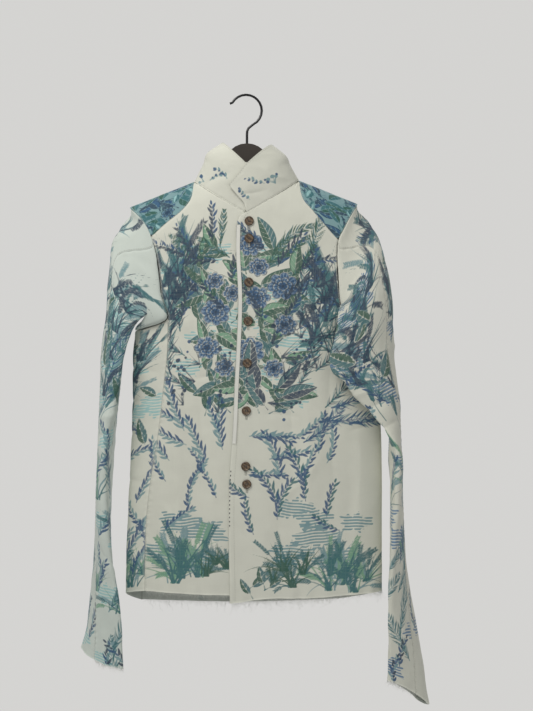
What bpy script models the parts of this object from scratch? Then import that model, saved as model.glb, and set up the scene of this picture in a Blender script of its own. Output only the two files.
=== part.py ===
"""A narrow stand-collar jacket of printed canvas, buttoned up and hung on a flat hanger.

The origin is the inner top of the hanger's hook, +Z is up, the jacket's front faces -Y and the
wearer's right is at -X. Sizes are in millimetres, and a drop is a distance below the origin.
"""
import math
from collections import namedtuple
from functools import lru_cache

import bmesh
import bpy
import numpy as np
from mathutils import Vector

MM = 0.001
OBJECT_NAME = "stand_collar_jacket"

WALL = 1.2                  # thickness of the canvas
# how far the first, last, top and low edge of a piece stop short of the seam line
SEAM_INSETS = (0.25, 0.25, 0.25, 0.0)
YOKE_INSETS = (0.25, 0.25, 1.0, 0.4)
COLLAR_INSETS = (0.0, 0.0, 0.0, 1.8)
SLEEVE_INSETS = (0.5, 0.5, 0.6, 0.0)
SLEEVE_STANDOFF = 0.3       # share of its way forward that a sleeve has already at the armhole
RIDGE_PACKING = 1.7         # readings lie closer together near the shoulder ridge and underarm
FRONT_ROWS = 20
ROW_PACKING = 1.5           # rows of the fronts lie closer together near the top
UNDERARM_PACKING = 1.3
INNER_FOLD_U = 6 / 11       # where on the under sleeve its inner fold lies
FOLD_PACKING = 1.6
ARMHOLE_PACKING = 1.25      # rows of a sleeve lie closer together near the armhole
LAP_OUT = 2.2               # how far the upper front lies in front of the lower one
COLLAR_LAP_OUT = 2.4
FOLD_ROUNDNESS = 0.8        # 1 gives an elliptic body section, less gives a boxier one
SHOULDER_ROUNDING = 80.0    # drop over which the cloth turns from the shoulder ridge to the front

LEFT_NECK_X, RIGHT_NECK_X = -80.8, 82.8
LEFT_NECK_DROP, RIGHT_NECK_DROP = 135.9, 134.0
NECK_FRONT_DROP, NECK_BACK_DROP = 190.4, 155.0
LEFT_SHOULDER_SLOPE, RIGHT_SHOULDER_SLOPE = 0.398, 0.399

HOOK_WIRE = 4.0
HOOK_RADIUS = 24.8          # to the middle of the wire
HANGER_THICKNESS = 12.0
HUMP_RADIUS = 36.5
HUMP_TOP_DROP = 75.7
HANGER_MIDDLE_X = 1.5
HANGER_REACH_LEFT, HANGER_REACH_RIGHT = -162.0, 158.0
ARM_DEPTH = 34.0

BUTTON_DIAMETER = 14.4
BUTTON_THICKNESS = 2.6
BUTTON_GAP = 0.35

Section = namedtuple("Section", "drop left right front back")
BODY = [
    # drop, left fold, right fold, front depth, back depth
    Section(100, -232, 232, 36, 30),
    Section(177, -226, 220, 37, 31),
    Section(240, -212, 212, 38, 32),
    Section(300, -195, 208, 38, 32),
    Section(371, -174, 206, 38, 32),
    Section(400, -177, 206, 37, 31),
    Section(480, -178, 209, 36, 30),
    Section(540, -180, 212.5, 35, 29),
    Section(604, -182, 213.6, 34, 28),
    Section(667, -185, 213.6, 33, 27),
    Section(730, -188, 213.5, 32, 26),
    Section(810, -190, 213, 30, 25),
]

Fold = namedtuple("Fold", "x_top drop_top x_bottom drop_bottom rise width")
FOLDS = [
    # a ridge where the rise is positive, a trough where it is negative
    Fold(-60, 190, -118, 330, 2.2, 16),
    Fold(-40, 230, -95, 420, -1.8, 18),
    Fold(70, 175, 60, 330, 2.0, 17),
    Fold(100, 240, 40, 470, -1.6, 20),
    Fold(-120, 420, -100, 700, 1.8, 16),
    Fold(-60, 520, -70, 760, -1.6, 22),
    Fold(110, 520, 90, 770, 2.2, 24),
    Fold(165, 560, 160, 760, -1.8, 16),
]

Seam = namedtuple("Seam", "x drop side")
FRONT, BACK = -1, 1
RIGHT_ARMHOLE = [
    # from the shoulder corner down the front, under the arm and up the back
    Seam(-183.0, 176.6, FRONT), Seam(-168.8, 189.6, FRONT), Seam(-153.5, 209.5, FRONT),
    Seam(-146.2, 224.9, FRONT), Seam(-137.1, 256.9, FRONT), Seam(-131.5, 305.0, FRONT),
    Seam(-129.0, 328.0, FRONT), Seam(-120.5, 351.1, FRONT), Seam(-147.0, 364.7, FRONT),
    Seam(-174.0, 371.0, FRONT), Seam(-150.0, 355.0, BACK), Seam(-136.0, 310.0, BACK),
    Seam(-138.0, 262.0, BACK), Seam(-150.0, 225.0, BACK), Seam(-168.0, 194.0, BACK),
    Seam(-183.0, 176.6, BACK),
]
LEFT_ARMHOLE = [
    Seam(175.8, 171.1, FRONT), Seam(164.4, 189.6, FRONT), Seam(154.4, 207.8, FRONT),
    Seam(143.1, 229.8, FRONT), Seam(141.3, 264.7, FRONT), Seam(144.3, 308.1, FRONT),
    Seam(150.7, 342.0, FRONT), Seam(168.4, 366.0, FRONT), Seam(190.0, 379.0, FRONT),
    Seam(206.0, 383.0, FRONT), Seam(190.0, 368.0, BACK), Seam(160.0, 320.0, BACK),
    Seam(150.0, 262.0, BACK), Seam(155.0, 222.0, BACK), Seam(166.0, 190.0, BACK),
    Seam(175.8, 171.1, BACK),
]
YOKE_POINT, ARMPIT, UNDERARM, BACK_ARMPIT = 3, 7, 9, 10
LEFT_BACK_SEAM, BACK_YOKE_CORNER = 11, 12

RIGHT_YOKE_SEAM = [(-146.2, 224.9), (-128.5, 208.5), (-117.4, 199.3), (-100.4, 186.0),
                   (-86.0, 168.0), (LEFT_NECK_X, LEFT_NECK_DROP)]
LEFT_YOKE_SEAM = [(RIGHT_NECK_X, RIGHT_NECK_DROP), (89.5, 167.0), (103.5, 184.0),
                  (125.5, 210.4), (143.1, 229.8)]
RIGHT_SIDE_SEAM = [(-120.5, 351.1), (-121.5, 402.0), (-127.5, 459.0), (-138.0, 545.0),
                   (-146.0, 591.0), (-154.0, 655.0), (-157.0, 734.0), (-157.0, 776.0)]
FREE_EDGE = [(-8.0, 193.5), (-12.9, 203.0), (-14.5, 224.0), (-11.6, 323.9),
             (-17.0, 454.7), (-20.8, 539.3), (-24.6, 588.5), (-24.6, 793.0)]
FREE_EDGE_TOP_X = -1.0
LOWER_FRONT_EDGE_X = 20.0
UPPER_FRONT_HEM = [(-24.6, 792.0), (-8.0, 790.0), (22.0, 785.5), (100.0, 785.0), (162.0, 781.5),
                   (213.0, 780.0)]
LOWER_FRONT_HEM = [(-157.0, 776.5), (-43.0, 780.5), (20.0, 779.5)]
BACK_HEM_DROP = 803.0
SIDE_HEM_DROP = 784.0
LEFT_SIDE_TURN = 106.0      # side seam just behind the left fold, in degrees from the front
LEFT_BACK_TURN, RIGHT_BACK_TURN = 138.0, -118.0

CollarRing = namedtuple("CollarRing", "level left right front back left_drop right_drop "
                                      "front_drop back_drop")
COLLAR = [
    # the lowest ring is the neckline itself
    CollarRing(0.45, -66.5, 69.5, -41, 31, 107.5, 110.0, 156.0, 117.0),
    CollarRing(0.80, -57.5, 60.0, -42, 33, 88.6, 93.0, 130.0, 96.0),
    CollarRing(1.00, -37.0, 41.0, -42, 32, 75.5, 79.0, 113.9, 86.0),
]
COLLAR_UNDER_END = 16.0     # degrees past the front middle, hidden under the lapped end
COLLAR_END = [(0.7, 183.5), (-2.3, 175.4), (-11.4, 164.7), (-25.6, 147.8)]

SleeveRing = namedtuple("SleeveRing", "outer_x outer_drop inner_x inner_drop outer_y inner_y "
                                      "corner half_thickness")
RIGHT_SLEEVE = [
    # outer tip (x, drop), inner tip (x, drop), how far back and forward, bend, half thickness
    SleeveRing(-200.0, 199.0, -148.0, 345.0, 2, -28, 0.35, 15),
    SleeveRing(-214.5, 251.0, -166.5, 359.0, 12, -30, 0.45, 15),
    SleeveRing(-219.5, 322.0, -178.5, 382.0, 28, -36, 0.45, 14),
    SleeveRing(-227.0, 385.0, -186.0, 410.0, 40, -48, 0.40, 13),
    SleeveRing(-230.0, 456.0, -193.0, 463.0, 47, -53, 0.30, 12),
    SleeveRing(-232.0, 542.0, -206.0, 544.0, 48, -54, 0.15, 10),
    SleeveRing(-236.5, 637.0, -209.5, 634.0, 45, -52, 0.15, 9),
    SleeveRing(-242.0, 716.0, -204.5, 712.0, 40, -48, 0.20, 9),
    SleeveRing(-249.0, 788.0, -193.5, 783.0, 32, -42, 0.30, 9),
    SleeveRing(-256.5, 851.0, -190.5, 850.0, 24, -36, 0.30, 8),
    SleeveRing(-262.5, 874.0, -190.5, 892.0, 18, -32, 0.30, 8),
]
LEFT_SLEEVE = [
    SleeveRing(195.0, 194.0, 152.0, 336.0, 3, -44, 0.50, 8),
    SleeveRing(219.0, 249.0, 139.5, 362.0, 8, -50, 0.95, 8),
    SleeveRing(230.0, 306.0, 135.5, 388.0, 16, -55, 0.97, 6),
    SleeveRing(232.5, 361.0, 129.0, 424.0, 24, -55, 0.97, 6),
    SleeveRing(235.5, 418.0, 152.5, 453.0, 32, -53, 1.00, 6),
    SleeveRing(242.0, 476.0, 181.5, 487.0, 38, -50, 1.00, 7),
    SleeveRing(244.0, 524.0, 211.5, 521.0, 44, -53, 0.60, 7),
    SleeveRing(245.0, 562.0, 224.5, 549.0, 48, -55, 0.10, 7),
    SleeveRing(247.0, 622.0, 225.5, 619.0, 46, -54, 0.10, 7),
    SleeveRing(250.5, 688.0, 223.5, 684.0, 44, -50, 0.15, 8),
    SleeveRing(257.0, 752.0, 220.5, 746.0, 40, -46, 0.20, 8),
    SleeveRing(268.0, 819.0, 219.5, 808.0, 32, -42, 0.25, 8),
    SleeveRing(279.0, 882.0, 220.5, 862.0, 24, -36, 0.30, 8),
    SleeveRing(290.5, 966.0, 220.5, 912.0, 15, -28, 0.30, 8),
]
# how far down a sleeve, and the share of the way round from its outer tip, of its seams
RIGHT_FRONT_SEAM = [(0.0, 0.131), (0.03, 0.165), (0.061, 0.205), (0.117, 0.262), (0.19, 0.28),
                    (0.5, 0.27), (1.0, 0.26)]
LEFT_FRONT_SEAM = [(0.0, 0.140), (0.03, 0.168), (0.055, 0.190), (0.114, 0.220), (0.20, 0.225),
                   (0.40, 0.23), (0.52, 0.25), (1.0, 0.26)]
BACK_SEAM = [(0.0, 0.79), (0.15, 0.72), (1.0, 0.70)]

# share round the armhole, then how far a sleeve's first stretch runs into the hole and forward
RIGHT_FIRST_RUN = [(0.0, (6, 0)), (0.2, (6, 2)), (0.35, (5, 6)), (0.42, (4, 7)), (0.5, (5, 8)),
                   (0.6, (8, -1)), (0.75, (6, -4)), (0.9, (6, -2)), (1.0, (6, 0))]
LEFT_FIRST_RUN = [(0.0, (6, 0)), (0.2, (6, 2)), (0.35, (4, 7)), (0.40, (4, 11)), (0.46, (9, 14)),
                  (0.5, (11, 14)), (0.56, (8, 8)), (0.64, (8, -2)), (0.75, (6, -4)), (0.9, (6, -2)), (1.0, (6, 0))]

BUTTONS = [(5.6, 202.5), (5.4, 229.1), (5.1, 296.5), (3.9, 356.4), (2.6, 421.0), (1.3, 494.4),
           (0.3, 579.9), (1.9, 607.4)]
STRIP_WIDTH, STRIP_TOP, STRIP_BOTTOM, STRIP_THICKNESS = 6.2, 208.0, 545.0, 0.8
FRINGE_THICKNESS = 0.8


def spline(knots, values, at):
    """Smooth curve through values at the rising knots, read at one place."""
    knots = np.asarray(knots, float)
    values = np.asarray(values, float)
    slopes = np.gradient(values, knots, axis=0)
    i = int(np.clip(np.searchsorted(knots, at, side="right") - 1, 0, len(knots) - 2))
    step = knots[i + 1] - knots[i]
    t = min(max((at - knots[i]) / step, 0.0), 1.0)
    rising = t * t * (3 - 2 * t)
    return ((1 - rising) * values[i] + rising * values[i + 1]
            + step * t * (1 - t) * ((1 - t) * slopes[i] - t * slopes[i + 1]))


def chord_knots(points):
    """Distance along a row of points, from 0 to 1."""
    steps = np.linalg.norm(np.diff(np.asarray(points, float), axis=0), axis=1)
    return np.concatenate([[0.0], np.cumsum(steps)]) / steps.sum()


def along(points, share):
    """Point at a share of the way along a smooth line through the points."""
    return spline(chord_knots(points), points, share)


def ramp(value, low, high):
    """0 below low, 1 above high, smooth between."""
    t = min(max((value - low) / (high - low), 0.0), 1.0)
    return t * t * (3 - 2 * t)


BODY_DROPS = [section.drop for section in BODY]
BODY_VALUES = [section[1:] for section in BODY]


def body_section(drop):
    """Left and right fold, front and back depth of the body at a drop."""
    return spline(BODY_DROPS, BODY_VALUES, drop)


def shoulder_drop(x):
    """Drop of the shoulder ridge, whose two slopes meet above the collar."""
    if x < (LEFT_NECK_X + RIGHT_NECK_X) / 2:
        return LEFT_NECK_DROP + (LEFT_NECK_X - x) * LEFT_SHOULDER_SLOPE
    return RIGHT_NECK_DROP + (x - RIGHT_NECK_X) * RIGHT_SHOULDER_SLOPE


def turn_at(x, drop, side):
    """Angle round the body of a point on its front or back, 0 at the front, in degrees."""
    left, right, _, _ = body_section(drop)
    s = (x - (left + right) / 2) / ((right - left) / 2)
    turn = math.degrees(math.asin(min(max(s, -1.0), 1.0)))
    if side == FRONT:
        return turn
    return math.copysign(180.0, turn) - turn


def fold_relief(x, drop):
    """Height of the soft folds on the fronts."""
    total = 0.0
    for fold in FOLDS:
        run_x, run_drop = fold.x_bottom - fold.x_top, fold.drop_bottom - fold.drop_top
        length = math.hypot(run_x, run_drop)
        s = ((x - fold.x_top) * run_x + (drop - fold.drop_top) * run_drop) / length ** 2
        off = ((x - fold.x_top) * run_drop - (drop - fold.drop_top) * run_x) / length
        fade = ramp(s, -0.15, 0.35) * (1 - ramp(s, 0.65, 1.15))
        total += fold.rise * fade * math.exp(-(off / fold.width) ** 2)
    return total


def body_point(turn, drop, out=0.0):
    """Point on the body at an angle and a drop, moved out by a few millimetres."""
    left, right, front, back = body_section(drop)
    angle = math.radians(turn)
    x = (left + right) / 2 + (right - left) / 2 * math.sin(angle)
    below = max(drop - shoulder_drop(x), 0.0) / SHOULDER_ROUNDING
    over_shoulder = math.sqrt(max(1 - max(1 - below, 0.0) ** 2, 0.0))
    facing = math.cos(angle)
    depth = abs(facing) ** FOLD_ROUNDNESS * over_shoulder
    if facing > 0:
        y = -front * depth - fold_relief(x, drop) * facing * over_shoulder - out
    else:
        y = back * depth + out
    return np.array([x, y, -drop])


def neckline_drop(x, side):
    """Drop of the seam between collar and body, a V in front and a curve behind."""
    middle = (LEFT_NECK_X + RIGHT_NECK_X) / 2
    s = (x - middle) / ((RIGHT_NECK_X - LEFT_NECK_X) / 2)
    neck = LEFT_NECK_DROP + (RIGHT_NECK_DROP - LEFT_NECK_DROP) * (s + 1) / 2
    inward = max(1 - abs(s), 0.0)
    if side == FRONT:
        return neck + (NECK_FRONT_DROP - neck) * inward ** 0.85
    return neck + (NECK_BACK_DROP - neck) * (1 - (1 - inward) ** 2)


def on_front(place):
    """Turn and drop of a point given by x and drop on the front."""
    x, drop = place
    return np.array([turn_at(x, drop, FRONT), drop])


class Armhole:
    """Closed seam round one arm, as a smooth line of turn and drop on the body."""

    def __init__(self, seams):
        self.line = np.array([(turn_at(seam.x, seam.drop, seam.side), seam.drop)
                              for seam in seams])
        placed = np.array([body_point(*place) for place in self.line])
        steps = np.linalg.norm(np.diff(placed, axis=0), axis=1)
        run = np.concatenate([[0.0], np.cumsum(steps)])
        front = run[UNDERARM]
        self.knots = np.where(run <= front, 0.5 * run / front,
                              0.5 + 0.5 * (run - front) / (run[-1] - front))

    def place(self, share):
        """Turn and drop: 0 and 1 at the shoulder corner, a half under the arm."""
        return spline(self.knots, self.line, share)

    def point(self, share):
        """Point in space on the armhole."""
        return body_point(*self.place(share))

    def span(self, first, last):
        """The stretch between two of its named points, read by a share."""
        start, finish = self.knots[first], self.knots[last]
        return lambda share: self.place(start + (finish - start) * share)


RIGHT_ARM = Armhole(RIGHT_ARMHOLE)
LEFT_ARM = Armhole(LEFT_ARMHOLE)


def four_sided(u, w, top, bottom, left, right):
    """Place inside a panel bounded by four curves, each read by a share of its length."""
    top_bow = top(u) - (1 - u) * top(0) - u * top(1)
    bottom_bow = bottom(u) - (1 - u) * bottom(0) - u * bottom(1)
    return (1 - u) * left(w) + u * right(w) + (1 - w) ** 6 * top_bow + w ** 3 * bottom_bow


def joined(first, second, share_at_joint):
    """One line from two, with the corner between them at a given share."""
    def read(share):
        if share < share_at_joint:
            return first(share / share_at_joint)
        return second((share - share_at_joint) / (1 - share_at_joint))
    return read


def line(*points):
    """Smooth line through points, read by a share."""
    return lambda share: along(points, share)


def front_line(points):
    """Smooth line through points given by x and drop, read as turn and drop."""
    return lambda share: on_front(along(points, share))


def packed_first(read):
    """The same line with its readings packed closer near its start."""
    return lambda share: read(share ** RIDGE_PACKING)


def packed_last(read):
    """The same line with its readings packed closer near its end."""
    return lambda share: read(1 - (1 - share) ** RIDGE_PACKING)


def upper_front_out(x):
    """How far the upper front stands off, fading out away from the lap."""
    return LAP_OUT * (1 - ramp(x, 35.0, 90.0))


def neckline(first_x, last_x, side=FRONT):
    """The neckline from one x to another, read as turn and drop."""
    def read(share):
        x = first_x + (last_x - first_x) * share
        drop = neckline_drop(x, side)
        return np.array([turn_at(x, drop, side), drop])
    return read


def seam_line(start, low_turn, low_drop):
    """A seam running down from a point of the armhole to the hem."""
    return line(start, ((start[0] + low_turn) / 2, (start[1] + low_drop) / 2),
                (low_turn, low_drop))


def row_share(row):
    """Share down a front at which one of its rows lies."""
    return (row / FRONT_ROWS) ** ROW_PACKING


def evened(read):
    """The same line read so that rows packed near the top lie closer near its low end."""
    return lambda share: read(1 - (1 - share ** (1 / ROW_PACKING)) ** UNDERARM_PACKING)


RIGHT_YOKE_LINE = packed_last(front_line(RIGHT_YOKE_SEAM))
LEFT_YOKE_LINE = packed_first(front_line(LEFT_YOKE_SEAM))
LEFT_SIDE_LINE = seam_line(LEFT_ARM.line[UNDERARM], LEFT_SIDE_TURN, 784.0)
LEFT_BACK_LINE = seam_line(LEFT_ARM.line[LEFT_BACK_SEAM], LEFT_BACK_TURN, BACK_HEM_DROP - 6)
RIGHT_BACK_LINE = seam_line(RIGHT_ARM.line[BACK_ARMPIT], RIGHT_BACK_TURN, BACK_HEM_DROP - 6)


def front_left_point(u, w):
    """The upper front, from its free edge round to the side seam."""
    w = w ** ROW_PACKING
    top = joined(neckline(FREE_EDGE_TOP_X, RIGHT_NECK_X), LEFT_YOKE_LINE, 0.5)
    right = joined(evened(LEFT_ARM.span(YOKE_POINT, UNDERARM)), LEFT_SIDE_LINE, row_share(10))
    start = (FREE_EDGE_TOP_X, neckline_drop(FREE_EDGE_TOP_X, FRONT))
    left = joined(front_line([start] + FREE_EDGE[:3]), front_line(FREE_EDGE[2:]),
                  row_share(4))
    hem = joined(front_line(UPPER_FRONT_HEM[:-1]),
                 line(on_front(UPPER_FRONT_HEM[-2]), (90.0, 780.0), (LEFT_SIDE_TURN, 784.0)), 0.75)
    turn, drop = four_sided(u, w, top, hem, left, right)
    return body_point(turn, drop, upper_front_out(body_point(turn, drop)[0]))


def front_right_point(u, w):
    """The lower front, from the side seam to its edge hidden under the other front."""
    w = w ** ROW_PACKING
    top = joined(RIGHT_YOKE_LINE, neckline(LEFT_NECK_X, LOWER_FRONT_EDGE_X), 0.5)
    left = joined(evened(RIGHT_ARM.span(YOKE_POINT, ARMPIT)), front_line(RIGHT_SIDE_SEAM),
                  row_share(9))
    neck_end = (LOWER_FRONT_EDGE_X, neckline_drop(LOWER_FRONT_EDGE_X, FRONT))
    edge = front_line([neck_end, (LOWER_FRONT_EDGE_X, 480.0), LOWER_FRONT_HEM[-1]])
    turn, drop = four_sided(u, w, top, front_line(LOWER_FRONT_HEM), left, edge)
    return body_point(turn, drop)


def side_right_point(u, w):
    """The panel under the wearer's right arm, from the back seam to the front one."""
    hem = line((RIGHT_BACK_TURN, BACK_HEM_DROP - 6), (-90.0, SIDE_HEM_DROP),
               on_front(RIGHT_SIDE_SEAM[-1]))
    turn, drop = four_sided(u, w, RIGHT_ARM.span(BACK_ARMPIT, ARMPIT), hem, RIGHT_BACK_LINE,
                            front_line(RIGHT_SIDE_SEAM))
    return body_point(turn, drop)


def side_left_point(u, w):
    """The panel under the wearer's left arm, which lies round the fold."""
    hem = line((LEFT_SIDE_TURN, 784.0), (LEFT_BACK_TURN, BACK_HEM_DROP - 6))
    turn, drop = four_sided(u, w, LEFT_ARM.span(UNDERARM, LEFT_BACK_SEAM), hem,
                            LEFT_SIDE_LINE, LEFT_BACK_LINE)
    return body_point(turn, drop)


BACK_YOKE_DROP = 262.0


def back_yoke_seam(share):
    """Straight seam between yoke and back, from the left armhole to the right one."""
    start = LEFT_ARM.line[BACK_YOKE_CORNER][0]
    finish = 360.0 + RIGHT_ARM.line[BACK_YOKE_CORNER][0]
    return np.array([start + (finish - start) * share, BACK_YOKE_DROP])


def full_turn(read):
    """The same line with its turn counted on past the middle of the back."""
    return lambda share: read(share) + np.array([360.0, 0.0])


def back_point(u, w):
    """The back below the yoke, between the two side panels."""
    left = joined(LEFT_ARM.span(BACK_YOKE_CORNER, LEFT_BACK_SEAM), LEFT_BACK_LINE, 0.15)
    right = joined(full_turn(packed_last(RIGHT_ARM.span(BACK_YOKE_CORNER, BACK_ARMPIT))),
                   full_turn(RIGHT_BACK_LINE), 0.2)
    hem = line((LEFT_BACK_TURN, BACK_HEM_DROP - 6), (180.0, BACK_HEM_DROP),
               (RIGHT_BACK_TURN + 360.0, BACK_HEM_DROP - 6))
    turn, drop = four_sided(u, w, back_yoke_seam, hem, left, right)
    return body_point(turn, drop)


def over_shoulder_place(place):
    """x and signed way over the shoulder ridge, negative in front, from turn and drop."""
    turn, drop = place
    x = body_point(turn, drop)[0]
    below = drop - shoulder_drop(x)
    if below < SHOULDER_ROUNDING:
        way = SHOULDER_ROUNDING * math.acos(min(max(1 - below / SHOULDER_ROUNDING, -1.0), 1.0))
    else:
        way = SHOULDER_ROUNDING * math.pi / 2 + below - SHOULDER_ROUNDING
    return np.array([x, way if math.cos(math.radians(turn)) < 0 else -way])


def over_shoulder_point(x, way):
    """Point on the body from x and the signed way over the ridge."""
    if abs(way) < SHOULDER_ROUNDING * math.pi / 2:
        below = SHOULDER_ROUNDING * (1 - math.cos(way / SHOULDER_ROUNDING))
    else:
        below = SHOULDER_ROUNDING + abs(way) - SHOULDER_ROUNDING * math.pi / 2
    side = FRONT if way < 0 else BACK
    drop = shoulder_drop(x) + below
    return body_point(turn_at(x, drop, side), drop)


def runs(*parts):
    """One line from several, each taking the same share of it."""
    def read(share):
        k = min(int(share * len(parts)), len(parts) - 1)
        return parts[k](share * len(parts) - k)
    return read


YOKE_NECK = neckline(LEFT_NECK_X, RIGHT_NECK_X, BACK)
YOKE_OUTER = runs(packed_last(RIGHT_ARM.span(YOKE_POINT, 0)),
                  packed_first(RIGHT_ARM.span(-1, BACK_YOKE_CORNER)),
                  lambda share: back_yoke_seam(1 - share),
                  packed_last(LEFT_ARM.span(BACK_YOKE_CORNER, -1)),
                  packed_first(LEFT_ARM.span(0, YOKE_POINT)))
YOKE_INNER = joined(joined(RIGHT_YOKE_LINE, YOKE_NECK, 0.25), LEFT_YOKE_LINE, 0.80)


def yoke_point(u, w):
    """The yoke, from the wearer's right point over the upper back to the left one."""
    outer = over_shoulder_place(YOKE_OUTER(u))
    inner = over_shoulder_place(YOKE_INNER(u))
    return over_shoulder_point(*((1 - w) * inner + w * outer))


def collar_ring_point(ring, theta):
    """Point on one ring of the collar; theta is 0 at the front and 90 at the left side."""
    angle = math.radians(theta)
    s = math.sin(angle)
    x = (ring.left + ring.right) / 2 + (ring.right - ring.left) / 2 * s
    side_drop = ring.left_drop + (ring.right_drop - ring.left_drop) * (s + 1) / 2
    facing = math.cos(angle)
    inward = 1 - abs(s)
    if facing > 0:
        return np.array([x, ring.front * facing ** FOLD_ROUNDNESS,
                         -side_drop - (ring.front_drop - side_drop) * inward])
    return np.array([x, ring.back * (-facing) ** FOLD_ROUNDNESS,
                     -side_drop - (ring.back_drop - side_drop) * (1 - (1 - inward) ** 2)])


def collar_point(theta, level):
    """Point on the collar at an angle and a level, 0 at the neckline and 1 at the top edge."""
    s = math.sin(math.radians(theta))
    x = (LEFT_NECK_X + RIGHT_NECK_X) / 2 + (RIGHT_NECK_X - LEFT_NECK_X) / 2 * s
    side = FRONT if math.cos(math.radians(theta)) > 0 else BACK
    drop = neckline_drop(x, side)
    base = body_point(turn_at(x, drop, side), drop)
    rings = [base] + [collar_ring_point(ring, theta) for ring in COLLAR]
    point = spline([0.0] + [ring.level for ring in COLLAR], rings, level)
    lap = COLLAR_LAP_OUT * ramp(-theta, 255.0, 320.0)
    return point + np.array([0.0, -lap, 0.0])


def collar_sheet_point(u, w):
    """The collar from its hidden end round the neck to the lapped end."""
    ring_share = 30 / 34
    level = 1 - w
    if u <= ring_share:
        theta = COLLAR_UNDER_END - (360.0 + COLLAR_UNDER_END) * u / ring_share
        return collar_point(theta, level)
    reach = (u - ring_share) / (1 - ring_share)
    start = collar_point(-360.0, level)
    end_x, end_drop = along(COLLAR_END, level)
    end = np.array([end_x, start[1] + 0.6, -end_drop])
    return (1 - reach) * start + reach * end


def ring_outline(ring, way_round):
    """Place on a ring before it is fitted to its width, and the share from inner to outer tip."""
    to_outer = 1.0 if ring.outer_x > ring.inner_x else -1.0
    inner = np.array([ring.inner_x + to_outer * ring.half_thickness, ring.inner_y])
    outer = np.array([ring.outer_x - to_outer * ring.half_thickness, ring.outer_y])
    bend = np.array([ring.outer_x, ring.inner_y])
    control = (inner + outer) / 2 * (1 - ring.corner) + bend * ring.corner
    s = 0.5 * (1 + math.cos(2 * math.pi * way_round))
    middle = (1 - s) ** 2 * inner + 2 * s * (1 - s) * control + s ** 2 * outer
    run = 2 * (1 - s) * (control - inner) + 2 * s * (outer - control)
    run /= np.linalg.norm(run)
    across = np.array([run[1], -run[0]]) * to_outer
    lift = math.sin(2 * math.pi * way_round)
    puff = math.copysign(abs(lift) ** 0.7, lift) * ring.half_thickness
    tip = (2 * s - 1) ** 5 * ring.half_thickness * 0.6
    return middle + across * puff + run * tip, s


@lru_cache(maxsize=None)
def ring_extent(ring):
    """Least and greatest x of a ring before it is fitted."""
    xs = [ring_outline(ring, k / 48)[0][0] for k in range(48)]
    return min(xs), max(xs)


def sleeve_ring_point(ring, share):
    """Point on one ring of a sleeve: 0 at the outer tip, a quarter in front, a half inside."""
    low, high = ring_extent(ring)
    wanted = sorted((ring.inner_x, ring.outer_x))
    (x, y), s = ring_outline(ring, share)
    x = wanted[0] + (x - low) / (high - low) * (wanted[1] - wanted[0])
    return np.array([x, y, -(1 - s) * ring.inner_drop - s * ring.outer_drop])


class Sleeve:
    """One sleeve, a row of flattened rings from the armhole down to the cuff."""

    def __init__(self, armhole, rings, front_seam, first_run):
        self.armhole = armhole
        self.rings = rings
        self.front_seam = front_seam
        self.first_run = first_run
        self.hole = np.mean([armhole.point(share / 16) for share in range(16)], axis=0)
        middles = [np.mean([self.ring(k, share / 8) for share in range(8)], axis=0)
                   for k in range(2, len(rings) + 2)]
        lengths = np.linalg.norm(np.diff(middles, axis=0), axis=1)
        run = np.concatenate([[0.0, 10.0, 40.0], 40.0 + np.cumsum(lengths)])
        self.knots = run / run[-1]

    def ring(self, k, share):
        """Point on ring k, where ring 0 is the armhole and ring 1 lies a little way out of it."""
        share = share % 1.0
        if k > 1:
            return sleeve_ring_point(self.rings[k - 2], share)
        shares, runs_out = zip(*self.first_run)
        inward, forward = spline(shares, runs_out, share)
        seam = self.armhole.point(share)
        inside = (self.hole - seam) * (1, 0, 1)
        step = inside / np.linalg.norm(inside) * inward + np.array([0.0, -forward, 0.0])
        return seam + step * (SLEEVE_STANDOFF if k == 0 else 1.0)

    def point(self, share, down):
        """Point on the sleeve, by the share round it and the share of the way down."""
        column = [self.ring(k, share) for k in range(len(self.rings) + 2)]
        return spline(self.knots, column, down)

    def seams(self, down):
        """Shares round the sleeve at which its front and back seams lie."""
        return tuple(float(spline(*zip(*table), down)) for table in (self.front_seam, BACK_SEAM))

    def under_point(self, u, w):
        """The front and inner piece of the sleeve."""
        down = w ** ARMHOLE_PACKING
        front, back = self.seams(down)
        if u < INNER_FOLD_U:
            share = 0.5 - (0.5 - front) * (1 - u / INNER_FOLD_U) ** FOLD_PACKING
        else:
            share = 0.5 + (back - 0.5) * ((u - INNER_FOLD_U) / (1 - INNER_FOLD_U)) ** FOLD_PACKING
        return self.point(share, down)

    def upper_point(self, u, w):
        """The outer piece of the sleeve."""
        down = w ** ARMHOLE_PACKING
        front, back = self.seams(down)
        return self.point(back + (1 + front - back) * u, down)


def make_material(name, colour, roughness, metallic=0.0):
    """Plain finish in the piece's main colour."""
    material = bpy.data.materials.new(name)
    material.use_nodes = True
    shader = material.node_tree.nodes["Principled BSDF"]
    shader.inputs["Base Color"].default_value = (*colour, 1.0)
    shader.inputs["Roughness"].default_value = roughness
    shader.inputs["Metallic"].default_value = metallic
    return material


CLOTH_CREAM = (0.72, 0.70, 0.62)
YOKE_BLUE = (0.16, 0.32, 0.42)
FRAYED_THREAD = (0.78, 0.77, 0.72)
HORN_BROWN = (0.16, 0.10, 0.06)
HANGER_BROWN = (0.035, 0.028, 0.022)
BLACK_WIRE = (0.01, 0.01, 0.01)


def clear_scene():
    """Remove every object and make the collection for this one."""
    for old in list(bpy.data.objects):
        bpy.data.objects.remove(old, do_unlink=True)
    collections = []
    for name in (OBJECT_NAME, "cutters"):
        collection = bpy.data.collections.new(name)
        bpy.context.scene.collection.children.link(collection)
        collections.append(collection)
    return collections


def add_object(name, data, collection, material=None):
    """Put a mesh or curve into a collection under its node name."""
    thing = bpy.data.objects.new(name, data)
    collection.objects.link(thing)
    if material is not None:
        data.materials.append(material)
    return thing


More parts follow.
